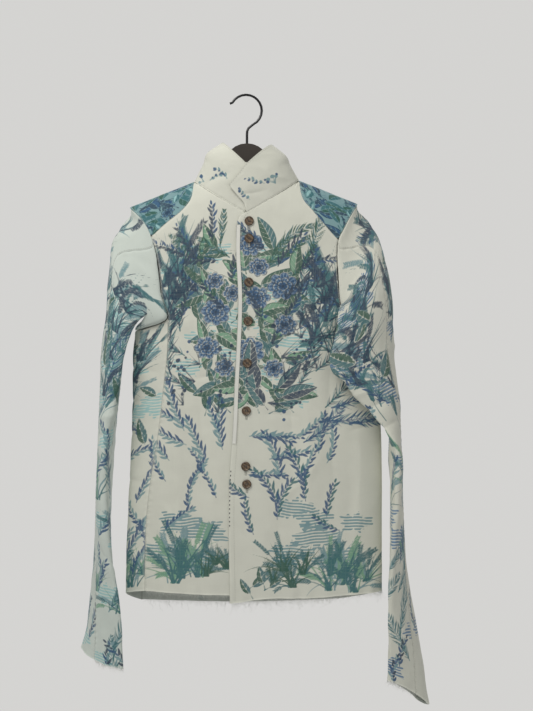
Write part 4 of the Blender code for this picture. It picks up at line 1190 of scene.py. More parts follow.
    def sprig(self, x: float, y: float, lean: float, size: float, inks: tuple[Ink, ...]) -> None:
        """Small stem with paired leaves and a bud."""
        stem = self.stroke(x, y, lean, size, self.rng.uniform(-0.9, 0.9), 0.75, inks[0])
        headings = np.arctan2(np.gradient(stem[:, 0]), -np.gradient(stem[:, 1]))
        for count, k in enumerate(range(6, len(stem) - 2, 9)):
            side = 1 if count % 2 else -1
            for turn, part in ((0.8, 1.0), (-0.6, 0.7)):
                self.stroke(stem[k, 0], stem[k, 1], headings[k] + side * turn,
                            size * 0.24 * part * self.rng.uniform(0.7, 1.2), -side * turn * 0.5,
                            1.75 * part, inks[(count + (turn < 0)) % len(inks)], bulge=True)
        self.stroke(stem[-1, 0], stem[-1, 1], headings[-1], size * 0.16, 0.0, 1.6, inks[-1],
                    bulge=True)

    def berries(self, x: float, y: float, lean: float, size: float,
                inks: tuple[Ink, ...]) -> None:
        """Loose spray of berries on fine stalks."""
        for k in range(7):
            stalk = self.stroke(x, y, lean + self.rng.normal(0, 0.45),
                                size * self.rng.uniform(0.5, 1.0), self.rng.normal(0, 0.4), 0.7,
                                inks[0])
            self.screens.dots(inks[k % len(inks)], stalk[-1:],
                              np.array([self.rng.uniform(1.8, 3.0)]))

    def wash(self, x: float, y: float, lean: float, size: float, inks: tuple[Ink, ...]) -> None:
        """Soft brushed patch of pale ink with a ragged edge."""
        part, off_x, off_y = self.screens.spot(x, y, size)
        r, angle = np.hypot(off_x * 0.8, off_y * 1.5), np.arctan2(off_y, off_x) - lean
        ragged = 1 + 0.2 * np.sin(angle * 5 + x) + 0.16 * np.sin(angle * 13 + y)
        brush = 1.1 * np.sin((off_y + 0.25 * off_x * math.sin(lean)) * 1.35
                             + 0.9 * np.sin(off_x / 6.0 + x))
        self.screens.add(inks[-1], part, np.minimum(size * 0.7 * ragged - r, brush))


# ---- cloth shells ------------------------------------------------------------------------

CALM_X, CALM_HALF, CALM_REACH = 2.0, 14.0, 40.0     # flat strip under the buttons

@dataclass(frozen=True)
class Crease:
    """Soft fold in cloth: a ridge where the rise is positive, a trough where it is negative."""

    x_top: float
    y_top: float
    x_low: float
    y_low: float
    rise: float
    width: float
    bow: float = 0.0            # how far its middle swings sideways
    crisp: float = 1.5          # 2 gives a round fold, 1 a sharp one

    def height(self, places: np.ndarray) -> np.ndarray:
        """Height of the fold over places on the cloth.

        Args:
            places: Array of places, whose last axis is across and down.

        Returns:
            Height in mm at each place.
        """
        run = np.array([self.x_low - self.x_top, self.y_low - self.y_top])
        length = float(np.hypot(*run))
        off = places - np.array([self.x_top, self.y_top])
        s = (off @ run) / length ** 2
        t = (off[..., 0] * run[1] - off[..., 1] * run[0]) / length
        t = t - self.bow * 4 * s * (1 - s)
        fade = graded(s, -0.12, 0.3) * (1 - graded(s, 0.6, 1.12))
        return 1.35 * self.rise * fade * np.exp(-(np.abs(t) / self.width) ** self.crisp)


def graded(values: np.ndarray, low: float, high: float) -> np.ndarray:
    """0 below low, 1 above high, smooth between, for a whole array."""
    t = np.clip((values - low) / (high - low), 0.0, 1.0)
    return t * t * (3 - 2 * t)


def crumple(places: np.ndarray, depth: float, seed: int) -> np.ndarray:
    """Fine wrinkles that washing leaves in canvas.

    Args:
        places: Array of places on the cloth.
        depth: Depth of the wrinkles in mm.
        seed: Number that fixes their pattern.

    Returns:
        Height in mm at each place.
    """
    rng = np.random.default_rng(seed)
    total = np.zeros(places.shape[:-1])
    for _ in range(16):
        angle, length = rng.uniform(0, math.pi), rng.uniform(14, 62)
        bend = rng.uniform(0, 6, 2)
        along_x = places @ np.array([math.cos(angle), math.sin(angle)])
        across = places @ np.array([-math.sin(angle), math.cos(angle)])
        phase = along_x / length * 2 * math.pi + 1.4 * np.sin(across / (length * 1.7) + bend[0])
        patch = 0.5 + 0.5 * np.sin(across / (length * 2.3) + bend[1])
        total += (1 - 1.6 * np.abs(np.sin(phase / 2))) * patch * length / 60
    return total * depth / 2.6


def smoothing(coarse: int, places: np.ndarray) -> np.ndarray:
    """Weights that read a row of coarse points smoothly at any places along it.

    Args:
        coarse: Number of steps between the coarse points.
        places: Places to read, counted in steps.

    Returns:
        Matrix with one row per place.
    """
    i = np.minimum(places.astype(int), coarse - 1)
    t = places - i
    parts = (-0.5 * t + t ** 2 - 0.5 * t ** 3, 1 - 2.5 * t ** 2 + 1.5 * t ** 3,
             0.5 * t + 2 * t ** 2 - 1.5 * t ** 3, 0.5 * (t ** 3 - t ** 2))
    weights = np.zeros((len(places), coarse + 1))
    for offset, part in zip((-1, 0, 1, 2), parts):
        np.add.at(weights, (np.arange(len(places)), np.clip(i + offset, 0, coarse)), part)
    return weights


def even_places(points: np.ndarray, axis: int, step: float) -> np.ndarray:
    """Places that divide a grid of points evenly along one axis.

    Args:
        points: The coarse grid.
        axis: 0 across, 1 down.
        step: Wanted distance between places, in mm.

    Returns:
        Places counted in coarse steps; their number is odd.
    """
    lengths = np.linalg.norm(np.diff(points, axis=axis), axis=2).mean(axis=1 - axis)
    run = np.concatenate([[0.0], np.cumsum(lengths)])
    cells = 2 * max(round(run[-1] / step / 2), 1)
    return np.interp(np.linspace(0, run[-1], cells + 1), run, np.arange(len(run)))


def surface_normals(points: np.ndarray) -> np.ndarray:
    """Unit normals of a grid of points."""
    normals = np.cross(np.gradient(points, axis=0), np.gradient(points, axis=1))
    return normals / np.maximum(np.linalg.norm(normals, axis=2, keepdims=True), 1e-9)


def laid_flat(points: np.ndarray) -> np.ndarray:
    """Places on the cloth when it is laid flat, by the lengths along rows and columns."""
    across = np.linalg.norm(np.diff(points, axis=0), axis=2)
    down = np.linalg.norm(np.diff(points, axis=1), axis=2)
    s = np.concatenate([np.zeros((1, points.shape[1])), np.cumsum(across, axis=0)])
    t = np.concatenate([np.zeros((points.shape[0], 1)), np.cumsum(down, axis=1)], axis=1)
    s = s - s[len(s) // 2]
    return np.stack([s, np.broadcast_to(t.mean(axis=0), s.shape)], axis=2)


def by_front(points: np.ndarray) -> np.ndarray:
    """Places on the front, by x and drop."""
    return np.stack([points[..., 0], -points[..., 2]], axis=2)


def by_back(points: np.ndarray) -> np.ndarray:
    """Places on the back as seen from behind, by x and drop."""
    return np.stack([-points[..., 0], -points[..., 2]], axis=2)


def by_yoke(points: np.ndarray) -> np.ndarray:
    """Places on the yoke, by x and the way over the shoulder."""
    x, drop = points[..., 0], -points[..., 2]
    middle = (LEFT_NECK_X + RIGHT_NECK_X) / 2
    ridge = np.where(x < middle, LEFT_NECK_DROP + (LEFT_NECK_X - x) * LEFT_SHOULDER_SLOPE,
                     RIGHT_NECK_DROP + (x - RIGHT_NECK_X) * RIGHT_SHOULDER_SLOPE)
    below = np.maximum(drop - ridge, 0.0)
    curled = SHOULDER_ROUNDING * np.arccos(np.clip(1 - below / SHOULDER_ROUNDING, -1, 1))
    way = np.where(below < SHOULDER_ROUNDING, curled,
                   SHOULDER_ROUNDING * (math.pi / 2 - 1) + below)
    return np.stack([x, np.where(points[..., 1] > 0, way, -way)], axis=2)


@dataclass
class Cut:
    """One cut piece of cloth, from its reader to its dressed shell."""

    name: str
    point: Surface
    columns: int                # of the solid that it stands for
    rows: int
    step: float                 # fineness of its outer face
    outward: tuple[float, float, float, float, float]   # share across, share down, direction
    flat: tuple[float, float]   # width and length that it was cut to, in metres
    area: float
    beds: tuple[Bed, ...] = ()
    places: Callable[[np.ndarray], np.ndarray] = laid_flat
    creases: tuple[Crease, ...] = ()
    crumple_depth: float = 0.55
    insets: Insets = (0.1, 0.1, 0.1, 0.0)
    pucker: Insets = (0.35, 0.35, 0.2, 0.0)      # first, last, top and low edge
    thickness: float = WALL
    seed: int = 1
    hem: bool = False
    calm: bool = False          # keep the middle flat under the buttons
    outer: np.ndarray = field(init=False)
    normals: np.ndarray = field(init=False)

    def shape(self) -> np.ndarray:
        """Fine grid of the cloth's middle face, with its folds."""
        fine_u, fine_w = 2 * self.columns, 2 * self.rows
        coarse = np.array([[self.point(i / fine_u, j / fine_w) for j in range(fine_w + 1)]
                           for i in range(fine_u + 1)])
        across, down = even_places(coarse, 0, self.step), even_places(coarse, 1, self.step)
        points = np.einsum("ai,ijk,bj->abk", smoothing(fine_u, across), coarse,
                           smoothing(fine_w, down))
        self.pull_in(points)
        normals = surface_normals(points)
        u, w, *way = self.outward
        at = normals[round(u * (len(points) - 1)), round(w * (points.shape[1] - 1))]
        if at @ np.array(way) < 0:
            normals = -normals
            self.turned = True
        else:
            self.turned = False
        flat = self.places(points)
        height = crumple(flat, self.crumple_depth, self.seed) * self.away(points, 14.0)
        for crease in self.creases:
            height = height + crease.height(flat) * (0.35 + 0.65 * self.away(points, 10.0))
        if self.calm:
            height = height * graded(np.abs(flat[..., 0] - CALM_X), CALM_HALF, CALM_REACH)
        height = height + self.puckers(points)
        points = points + normals * height[..., None]
        self.normals = surface_normals(points) * (-1 if self.turned else 1)
        return points

    def pull_in(self, points: np.ndarray) -> None:
        """Draw the edges inward by the insets, so that seams keep a hair of room."""
        for axis, edge, inner, inset in zip((0, 0, 1, 1), (0, -1, 0, -1), (1, -2, 1, -2),
                                            self.insets):
            rows = np.moveaxis(points, axis, 0)
            run = rows[inner] - rows[edge]
            rows[edge] += run / np.maximum(np.linalg.norm(run, axis=1, keepdims=True), 0.5) * inset

    def edge_ways(self, points: np.ndarray) -> list[np.ndarray]:
        """Distance of each point from the first, last, top and low edge, in mm."""
        flat = laid_flat(points)
        s, t = flat[..., 0], flat[..., 1]
        return [s - s[:1], s[-1:] - s, t - t[:, :1], t[:, -1:] - t]

    def away(self, points: np.ndarray, reach: float) -> np.ndarray:
        """0 at a sewn edge, 1 from a reach away from it."""
        ways = self.edge_ways(points)
        nearest = np.minimum(np.minimum(ways[0], ways[1]), ways[2])
        return graded(nearest, -reach * 0.3, reach)

    def puckers(self, points: np.ndarray) -> np.ndarray:
        """Groove along each sewn edge, and the small ripples beside it."""
        flat = laid_flat(points)
        rng = np.random.default_rng(self.seed + 40)
        total = np.zeros(points.shape[:2])
        runs = (flat[..., 1], flat[..., 1], flat[..., 0], flat[..., 0])
        for way, run, depth in zip(self.edge_ways(points), runs, self.pucker):
            if depth == 0.0:
                continue
            wave = np.sin(run / rng.uniform(1.5, 1.9) + 1.6 * np.sin(run / 11.0))
            total += depth * wave * np.exp(-(way / 5.5) ** 2) * 0.8
            total -= 0.55 * np.exp(-(way / 1.3) ** 2)
        if self.hem:
            low = self.edge_ways(points)[3]
            total += 0.7 * np.sin(runs[2] / 5.3 + 1.2 * np.sin(runs[2] / 17)) * np.exp(-low / 14.0)
        return total

    def build(self, finish: Any, lining: Any) -> bpy.types.Object:
        """Make the closed shell with its print, and dress both faces.

        Args:
            finish: Material of the outer face.
            lining: Material of the inner face.

        Returns:
            The shell.
        """
        points = self.shape()
        half = self.thickness / 2
        outer = points + self.normals * half
        inner = (points - self.normals * half)[::2, ::2]
        self.outer = outer
        mesh = self.closed_mesh(outer, inner)
        mesh.materials.append(finish)
        mesh.materials.append(lining)
        self.print_on(mesh, points, len(inner) * inner.shape[1])
        shell = bpy.data.objects.new(f"{self.name}_cloth", mesh)
        bpy.context.scene.collection.objects.link(shell)
        return shell

    def closed_mesh(self, outer: np.ndarray, inner: np.ndarray) -> bpy.types.Mesh:
        """Mesh of a fine outer face, an inner face half as fine and a rim.

        Args:
            outer: Grid of the outer face.
            inner: Grid of the inner face.

        Returns:
            The mesh, whose inner face has material 1.
        """
        n, m = outer.shape[0], outer.shape[1]
        p, q = inner.shape[0], inner.shape[1]
        front = np.arange(n * m).reshape(n, m)
        back = np.arange(p * q).reshape(p, q) + n * m
        quads = np.stack([front[:-1, :-1], front[1:, :-1], front[1:, 1:], front[:-1, 1:]], axis=2)
        lining = np.stack([back[:-1, :-1], back[:-1, 1:], back[1:, 1:], back[1:, :-1]], axis=2)
        faces = quads.reshape(-1, 4).tolist() + lining.reshape(-1, 4).tolist()
        rims = ((front[:, 0][::-1], back[:, 0][::-1]), (front[:, -1], back[:, -1]),
                (front[0], back[0]), (front[-1][::-1], back[-1][::-1]))
        for fine, wide in rims:
            for k in range(len(wide) - 1):
                faces.append([*fine[2 * k:2 * k + 3][::-1].tolist(), int(wide[k]),
                              int(wide[k + 1])])
        if self.turned:
            faces = [face[::-1] for face in faces]
        mesh = bpy.data.meshes.new(f"{self.name}_cloth")
        mesh.from_pydata(np.concatenate([outer.reshape(-1, 3), inner.reshape(-1, 3)]) * MM, [],
                         faces)
        outer_count, inner_count = (n - 1) * (m - 1), (p - 1) * (q - 1)
        index = np.zeros(len(faces), np.int32)
        index[outer_count:outer_count + inner_count] = 1
        mesh.polygons.foreach_set("material_index", index)
        mesh.shade_smooth()
        mesh.set_sharp_from_angle(angle=math.radians(55))
        return mesh

    def print_on(self, mesh: bpy.types.Mesh, points: np.ndarray, inner_count: int) -> None:
        """Store the print's screens, the flat places and the edge distances on the mesh.

        Args:
            mesh: Mesh of the shell.
            points: Grid of its middle face.
            inner_count: Number of points on its inner face.
        """
        flat = self.places(points)
        screens = Screens(flat.reshape(-1, 2).min(axis=0), flat.reshape(-1, 2).max(axis=0))
        Garden(screens, self.seed).grow(self.beds)
        inks = np.clip(screens.read(flat) / (2 * screens.far) + 0.5, 0, 1).reshape(-1, len(Ink))
        ways = self.edge_ways(points)
        sewn = np.minimum(np.minimum(ways[0], ways[1]), ways[2])
        edge = np.clip(np.stack([sewn, ways[3]], axis=2) / 20.0, 0, 1).reshape(-1, 2)
        rest = slice(None, None, 2)
        for name, values in (("dark_inks", inks[:, :4]), ("pale_inks", inks[:, 4:])):
            inside = values.reshape(*flat.shape[:2], 4)[rest, rest].reshape(-1, 4)
            layer = mesh.attributes.new(name, "FLOAT_COLOR", "POINT")
            layer.data.foreach_set("color", np.concatenate([values, inside]).ravel())
        place = np.concatenate([flat.reshape(-1, 2), flat[rest, rest].reshape(-1, 2)])
        place = np.concatenate([place, np.zeros((len(place), 1))], axis=1)
        layer = mesh.attributes.new("cloth_place", "FLOAT_VECTOR", "POINT")
        layer.data.foreach_set("vector", place.ravel())
        inner_edge = edge.reshape(*flat.shape[:2], 2)[rest, rest].reshape(-1, 2)
        edge = np.concatenate([edge, inner_edge])
        layer = mesh.attributes.new("edge_way", "FLOAT_VECTOR", "POINT")
        layer.data.foreach_set("vector", np.concatenate([edge, edge[:, :1]], axis=1).ravel())
        assert len(place) == points.shape[0] * points.shape[1] + inner_count

    def seam_track(self, edge: str, inset: float, lift: float = 0.15) -> np.ndarray:
        """Line on the outer face beside one edge.

        Args:
            edge: "first", "last", "top" or "low".
            inset: Distance from that edge, in mm.
            lift: Distance out of the face, in mm.

        Returns:
            Points of the line.
        """
        number = ("first", "last", "top", "low").index(edge)
        way = self.edge_ways(self.outer)[number]
        grid, normals = self.outer + self.normals * lift, self.normals
        if number < 2:
            grid, normals, way = grid.swapaxes(0, 1), normals.swapaxes(0, 1), way.T
        else:
            grid, way = grid, way
        line_points = []
        for k in range(len(grid)):
            row = way[k]
            order = np.argsort(row)
            line_points.append([np.interp(inset, row[order], grid[k][order, axis])
                                for axis in range(3)])
        return np.array(line_points)


# ---- small threads -----------------------------------------------------------------------

@dataclass
class Strands:
    """Many fine threads or stitches gathered into one mesh."""

    name: str
    sides: int = 4
    points: list[np.ndarray] = field(default_factory=list)
    faces: list[list[int]] = field(default_factory=list)
    count: int = 0

    def add(self, path: np.ndarray, radii: np.ndarray) -> None:
        """One closed strand along a path.

        Args:
            path: Points of its middle line, in mm.
            radii: Radius at each point.
        """
        run = np.gradient(path, axis=0)
        run /= np.maximum(np.linalg.norm(run, axis=1, keepdims=True), 1e-9)
        side = np.cross(run, np.array([0.3, 1.0, 0.2]))
        side /= np.maximum(np.linalg.norm(side, axis=1, keepdims=True), 1e-9)
        up = np.cross(side, run)
        angles = np.arange(self.sides) / self.sides * 2 * math.pi
        ring = (side[:, None] * np.cos(angles)[None, :, None]
                + up[:, None] * np.sin(angles)[None, :, None]) * radii[:, None, None]
        self.points.append((path[:, None] + ring).reshape(-1, 3))
        start, sides = self.count, self.sides
        for k in range(len(path) - 1):
            for s in range(sides):
                a, b = start + k * sides + s, start + k * sides + (s + 1) % sides
                self.faces.append([a, b, b + sides, a + sides])
        self.faces.append([start + s for s in range(sides)][::-1])
        last = start + (len(path) - 1) * sides
        self.faces.append([last + s for s in range(sides)])
        self.count += len(path) * sides

    def stitch_line(self, track: np.ndarray, stitch: float, gap: float, radius: float) -> None:
        """A row of sewn stitches along a line.

        Args:
            track: Points of the line, in mm.
            stitch: Length of each stitch.
            gap: Space between two stitches.
            radius: Radius of the thread.
        """
        lengths = np.linalg.norm(np.diff(track, axis=0), axis=1)
        run = np.concatenate([[0.0], np.cumsum(lengths)])
        for start in np.arange(gap, run[-1] - stitch, stitch + gap):
            at = start + np.array([0.0, 0.25, 0.75, 1.0]) * stitch
            path = np.stack([np.interp(at, run, track[:, axis]) for axis in range(3)], axis=1)
            self.add(path, np.array([0.35, 1.0, 1.0, 0.35]) * radius)

    def build(self, material: Any) -> bpy.types.Object:
        """Make one object of all strands."""
        mesh = bpy.data.meshes.new(self.name)
        mesh.from_pydata(np.concatenate(self.points) * MM, [], self.faces)
        mesh.materials.append(material)
        mesh.shade_smooth()
        thing = bpy.data.objects.new(self.name, mesh)
        bpy.context.scene.collection.objects.link(thing)
        return thing


# ---- node groups and finishes ------------------------------------------------------------

def new_group(name: str, takes: dict[str, Any], gives: dict[str, str]) -> tuple[Any, Any, Any]:
    """Empty shader group with named inputs and outputs.

    Args:
        name: Name of the group.
        takes: Input names with their values; a tuple is a colour or vector.
        gives: Output names with their kinds, "Color", "Float" or "Vector".

    Returns:
        The group, its input node and its output node.
    """
    group = bpy.data.node_groups.new(name, "ShaderNodeTree")
    for label, value in takes.items():
        kind = {1: "Float", 3: "Vector", 4: "Color"}[len(value) if isinstance(value, tuple) else 1]
        socket = group.interface.new_socket(label, in_out="INPUT",
                                            socket_type=f"NodeSocket{kind}")
        socket.default_value = value
    for label, kind in gives.items():
        group.interface.new_socket(label, in_out="OUTPUT", socket_type=f"NodeSocket{kind}")
    return group, group.nodes.new("NodeGroupInput"), group.nodes.new("NodeGroupOutput")


@dataclass
class Wiring:
    """Short ways to add nodes to one node tree."""

    tree: Any

    def node(self, kind: str, **settings: Any) -> Any:
        """New node with its settings."""
        made = self.tree.nodes.new(f"ShaderNode{kind}")
        for label, value in settings.items():
            setattr(made, label, value)
        return made

    def feed(self, socket: Any, value: Any) -> None:
        """Link a socket into another one, or set its plain value."""
        if isinstance(value, bpy.types.NodeSocket):
            self.tree.links.new(value, socket)
        else:
            socket.default_value = value

    def maths(self, operation: str, first: Any, second: Any = 0.0, third: Any = 0.0,
              clamp: bool = False) -> Any:
        """Result of a sum.

        Args:
            operation: Name of the operation.
            first: First value or socket.
            second: Second value or socket.
            third: Third value or socket.
            clamp: True to keep the result between 0 and 1.

        Returns:
            The output socket.
        """
        made = self.node("Math", operation=operation, use_clamp=clamp)
        for socket, value in zip(made.inputs, (first, second, third)):
            self.feed(socket, value)
        return made.outputs[0]

    def mix(self, share: Any, first: Any, second: Any, blend: str = "MIX") -> Any:
        """Mix of two colours.

        Args:
            share: Share of the second colour.
            first: First colour or socket.
            second: Second colour or socket.
            blend: Way of blending.

        Returns:
            The output socket.
        """
        made = self.node("Mix", data_type="RGBA", blend_type=blend)
        for socket, value in zip((made.inputs[0], made.inputs[6], made.inputs[7]),
                                 (share, first, second)):
            self.feed(socket, value)
        return made.outputs[2]

    def noise(self, place: Any, scale: float, detail: float = 3.0) -> Any:
        """Even noise between 0 and 1 over a place."""
        made = self.node("TexNoise")
        self.feed(made.inputs["Vector"], place)
        made.inputs["Scale"].default_value = scale
        made.inputs["Detail"].default_value = detail
        return made.outputs["Fac"]

    def group(self, group: Any, **values: Any) -> Any:
        """Place a group; underscores in the names stand for spaces."""
        made = self.node("Group")
        made.node_tree = group
        for label, value in values.items():
            self.feed(made.inputs[label.replace("_", " ").capitalize()], value)
        return made


def rgba(colour: Rgb) -> tuple[float, float, float, float]:
    """Colour with full cover."""
    return (*colour, 1.0)


def print_group() -> Any:
    """Group that lays the eight inks over a cloth colour, worn by washing."""
    inks = {"Lilac": (0.085, 0.19, 0.33), "Aqua": (0.29, 0.52, 0.52),
            "Grey blue": (0.15, 0.28, 0.31), "Sage": (0.15, 0.33, 0.21),
            "Teal": (0.020, 0.125, 0.145), "Royal": (0.008, 0.068, 0.175),
            "Green": (0.012, 0.086, 0.056), "Navy": (0.005, 0.030, 0.072)}
    takes: dict[str, Any] = {"Cloth": (0.7, 0.7, 0.64, 1.0), "Place": (0.0, 0.0, 0.0),
                             "Dark": (0.0, 0.0, 0.0, 1.0), "Dark fourth": 0.0,
                             "Pale": (0.0, 0.0, 0.0, 1.0), "Pale fourth": 0.0, "Cover": 0.97}
    takes.update({f"{name} ink": rgba(colour) for name, colour in inks.items()})
    group, given, out = new_group("washed print", takes, {"Color": "Color", "Inked": "Float"})
    wire = Wiring(group)
    fields = {}
    for label, fourth, names in (("Dark", "Dark fourth", ("Navy", "Royal", "Teal", "Green")),
                                 ("Pale", "Pale fourth", ("Sage", "Grey blue", "Aqua", "Lilac"))):
        parts = wire.node("SeparateColor")
        wire.feed(parts.inputs[0], given.outputs[label])
        fields.update(zip(names, (*parts.outputs, given.outputs[fourth])))
    ragged = wire.noise(given.outputs["Place"], 1.1, 2.0)
    worn = wire.maths("MULTIPLY_ADD", wire.noise(given.outputs["Place"], 0.09, 4.0), 0.30, 0.80,
                      clamp=True)
    colour, inked = given.outputs["Cloth"], 0.0
    for name in inks:
        edge = wire.maths("MULTIPLY_ADD", ragged, 0.10, -0.55)
        mask = wire.maths("MULTIPLY", wire.maths("ADD", fields[name], edge), 7.0)
        mask = wire.maths("ADD", mask, 0.72, clamp=True)
        mask = wire.maths("MULTIPLY", wire.maths("MULTIPLY", mask, worn), given.outputs["Cover"])
        colour = wire.mix(mask, colour, given.outputs[f"{name} ink"])
        inked = wire.maths("MAXIMUM", inked, mask)
    wire.feed(out.inputs["Color"], colour)
    wire.feed(out.inputs["Inked"], inked)
    return group


def weave_group() -> Any:
    """Group with the threads of a plain weave and their thick places."""
    group, given, out = new_group("canvas weave", {"Place": (0.0, 0.0, 0.0), "Threads": 1.1},
                                  {"Height": "Float", "Slub": "Float", "Mottle": "Float"})
    wire = Wiring(group)
    place = given.outputs["Place"]
    rows = []
    for axis, stretch in (("X", (1.0, 0.06, 1.0)), ("Y", (0.06, 1.0, 1.0))):
        wave = wire.node("TexWave", wave_type="BANDS", bands_direction=axis)
        wire.feed(wave.inputs["Vector"], place)
        wire.feed(wave.inputs["Scale"], wire.maths("MULTIPLY", given.outputs["Threads"], 0.314))
        wave.inputs["Distortion"].default_value = 1.2
        wave.inputs["Detail"].default_value = 1.0
        longways = wire.node("Mapping")
        wire.feed(longways.inputs["Vector"], place)
        longways.inputs["Scale"].default_value = stretch
        slub = wire.noise(longways.outputs[0], 0.55, 2.0)
        rows.append((wave.outputs["Fac"], slub))
    threads = wire.maths("MAXIMUM", rows[0][0], rows[1][0])
    slubs = wire.maths("MAXIMUM", rows[0][1], rows[1][1])
    wire.feed(out.inputs["Height"], wire.maths("MULTIPLY_ADD", slubs, 0.9, threads))
    wire.feed(out.inputs["Slub"], slubs)
    wire.feed(out.inputs["Mottle"], wire.noise(place, 0.025, 4.0))
    return group


def wear_and_seam_shade_group() -> Any:
    """Group that gives masks for rubbed edges, painted shade along the sewn seams and the frayed hem."""
    # The Groove output is painted shade along the sewn seams; Rubbed and Frayed are real rubbing and fraying.
    group, given, out = new_group("edge wear", {"Edge": (1.0, 1.0, 1.0), "Place": (0.0, 0.0, 0.0)},
                                  {"Groove": "Float", "Rubbed": "Float", "Frayed": "Float"})
    wire = Wiring(group)
    parts = wire.node("SeparateXYZ")
    wire.feed(parts.inputs[0], given.outputs["Edge"])
    patchy = wire.noise(given.outputs["Place"], 0.12, 3.0)
    # Painted shade: full at a sewn edge, gone about 1.4 mm in.
    seam_shade = wire.maths("SUBTRACT", 1.0, wire.maths("MULTIPLY", parts.outputs[0], 14.0),
                        clamp=True)
    rubbed = wire.maths("SUBTRACT", 1.0, wire.maths("MULTIPLY", parts.outputs[0], 4.0), clamp=True)
    frayed = wire.maths("SUBTRACT", 1.0, wire.maths("MULTIPLY", parts.outputs[1], 6.0), clamp=True)
    wire.feed(out.inputs["Groove"], seam_shade)
    wire.feed(out.inputs["Rubbed"], wire.maths("MULTIPLY", rubbed, patchy))
    wire.feed(out.inputs["Frayed"], wire.maths("MULTIPLY", frayed, 1.0))
    return group


def new_material(name: str, roughness: float) -> tuple[Any, Wiring, Any]:
    """Material with its node tree and its Principled shader."""
    material = bpy.data.materials.new(name)
    material.use_nodes = True
    shader = material.node_tree.nodes["Principled BSDF"]
    shader.inputs["Roughness"].default_value = roughness
    return material, Wiring(material.node_tree), shader


@dataclass(frozen=True)
class Groups:
    """The shared shader groups."""

    washed_print: Any
    weave: Any
    wear_and_seam_shade: Any


@dataclass(frozen=True)
class CanvasFinish:
    """Washed cotton canvas, printed on its outer face, with painted shade along its seams."""

    name: str
    cloth: Rgb
    cover: float = 0.97         # how strongly the print shows
    shade: float = 0.16         # how far the cloth's own colour varies
    bump: float = 0.22

    def material(self, groups: Groups) -> Any:
        """Make the material from the shared groups."""
        material, wire, shader = new_material(self.name, 0.88)
        dark = wire.node("Attribute", attribute_name="dark_inks")
        pale = wire.node("Attribute", attribute_name="pale_inks")
        place = wire.node("Attribute", attribute_name="cloth_place").outputs["Vector"]
        edge = wire.node("Attribute", attribute_name="edge_way").outputs["Vector"]
        weave = wire.group(groups.weave, place=place)
        wear_and_seam_shade = wire.group(groups.wear_and_seam_shade, edge=edge, place=place)
        shaded = tuple(channel * (1 - self.shade) for channel in self.cloth)
        cloth = wire.mix(weave.outputs["Mottle"], rgba(shaded), rgba(self.cloth))
        printed = wire.group(groups.washed_print, cloth=cloth, place=place, cover=self.cover,
                             dark=dark.outputs["Color"], pale=pale.outputs["Color"],
                             dark_fourth=dark.outputs["Alpha"], pale_fourth=pale.outputs["Alpha"])
        lighter = tuple(min(channel * 1.12 + 0.03, 1.0) for channel in self.cloth)
        colour = wire.mix(wire.maths("MULTIPLY", wear_and_seam_shade.outputs["Rubbed"], 0.55),
                          printed.outputs["Color"], rgba(lighter))
        colour = wire.mix(wire.maths("MULTIPLY", wear_and_seam_shade.outputs["Frayed"], 0.75), colour,
                          rgba(lighter))
        # Painted shade: along each sewn seam the colour is mixed up to 45 % towards a darker copy of the cloth.
        colour = wire.mix(wire.maths("MULTIPLY", wear_and_seam_shade.outputs["Groove"], 0.45), colour,
                          rgba(tuple(channel * 0.35 for channel in self.cloth)))
        slub = wire.maths("MULTIPLY_ADD", weave.outputs["Slub"], 0.22, -0.08, clamp=True)
        colour = wire.mix(slub, colour, rgba(lighter))
        wire.feed(shader.inputs["Base Color"], colour)
        wire.feed(shader.inputs["Roughness"],
                  wire.maths("MULTIPLY_ADD", printed.outputs["Inked"], -0.10, 0.90))
        bump = wire.node("Bump")
        bump.inputs["Strength"].default_value = self.bump
        bump.inputs["Distance"].default_value = 0.0004
        wire.feed(bump.inputs["Height"], weave.outputs["Height"])
        wire.feed(shader.inputs["Normal"], bump.outputs[0])
        shader.inputs["Sheen Weight"].default_value = 0.12
        shader.inputs["Sheen Roughness"].default_value = 0.5
        return material


@dataclass(frozen=True)
class ThreadFinish:
    """Loose or sewn cotton thread."""

    name: str
    pale: Rgb
    dark: Rgb

    def material(self) -> Any:
        """Make the material."""
        material, wire, shader = new_material(self.name, 0.9)
        place = wire.node("TexCoord").outputs["Object"]
        colour = wire.mix(wire.noise(place, 220.0, 2.0), rgba(self.dark), rgba(self.pale))
        wire.feed(shader.inputs["Base Color"], colour)
        bump = wire.node("Bump")
        bump.inputs["Strength"].default_value = 0.3
        bump.inputs["Distance"].default_value = 0.0002
        wire.feed(bump.inputs["Height"], wire.noise(place, 2400.0, 1.0))
        wire.feed(shader.inputs["Normal"], bump.outputs[0])
        shader.inputs["Sheen Weight"].default_value = 0.15
        return material


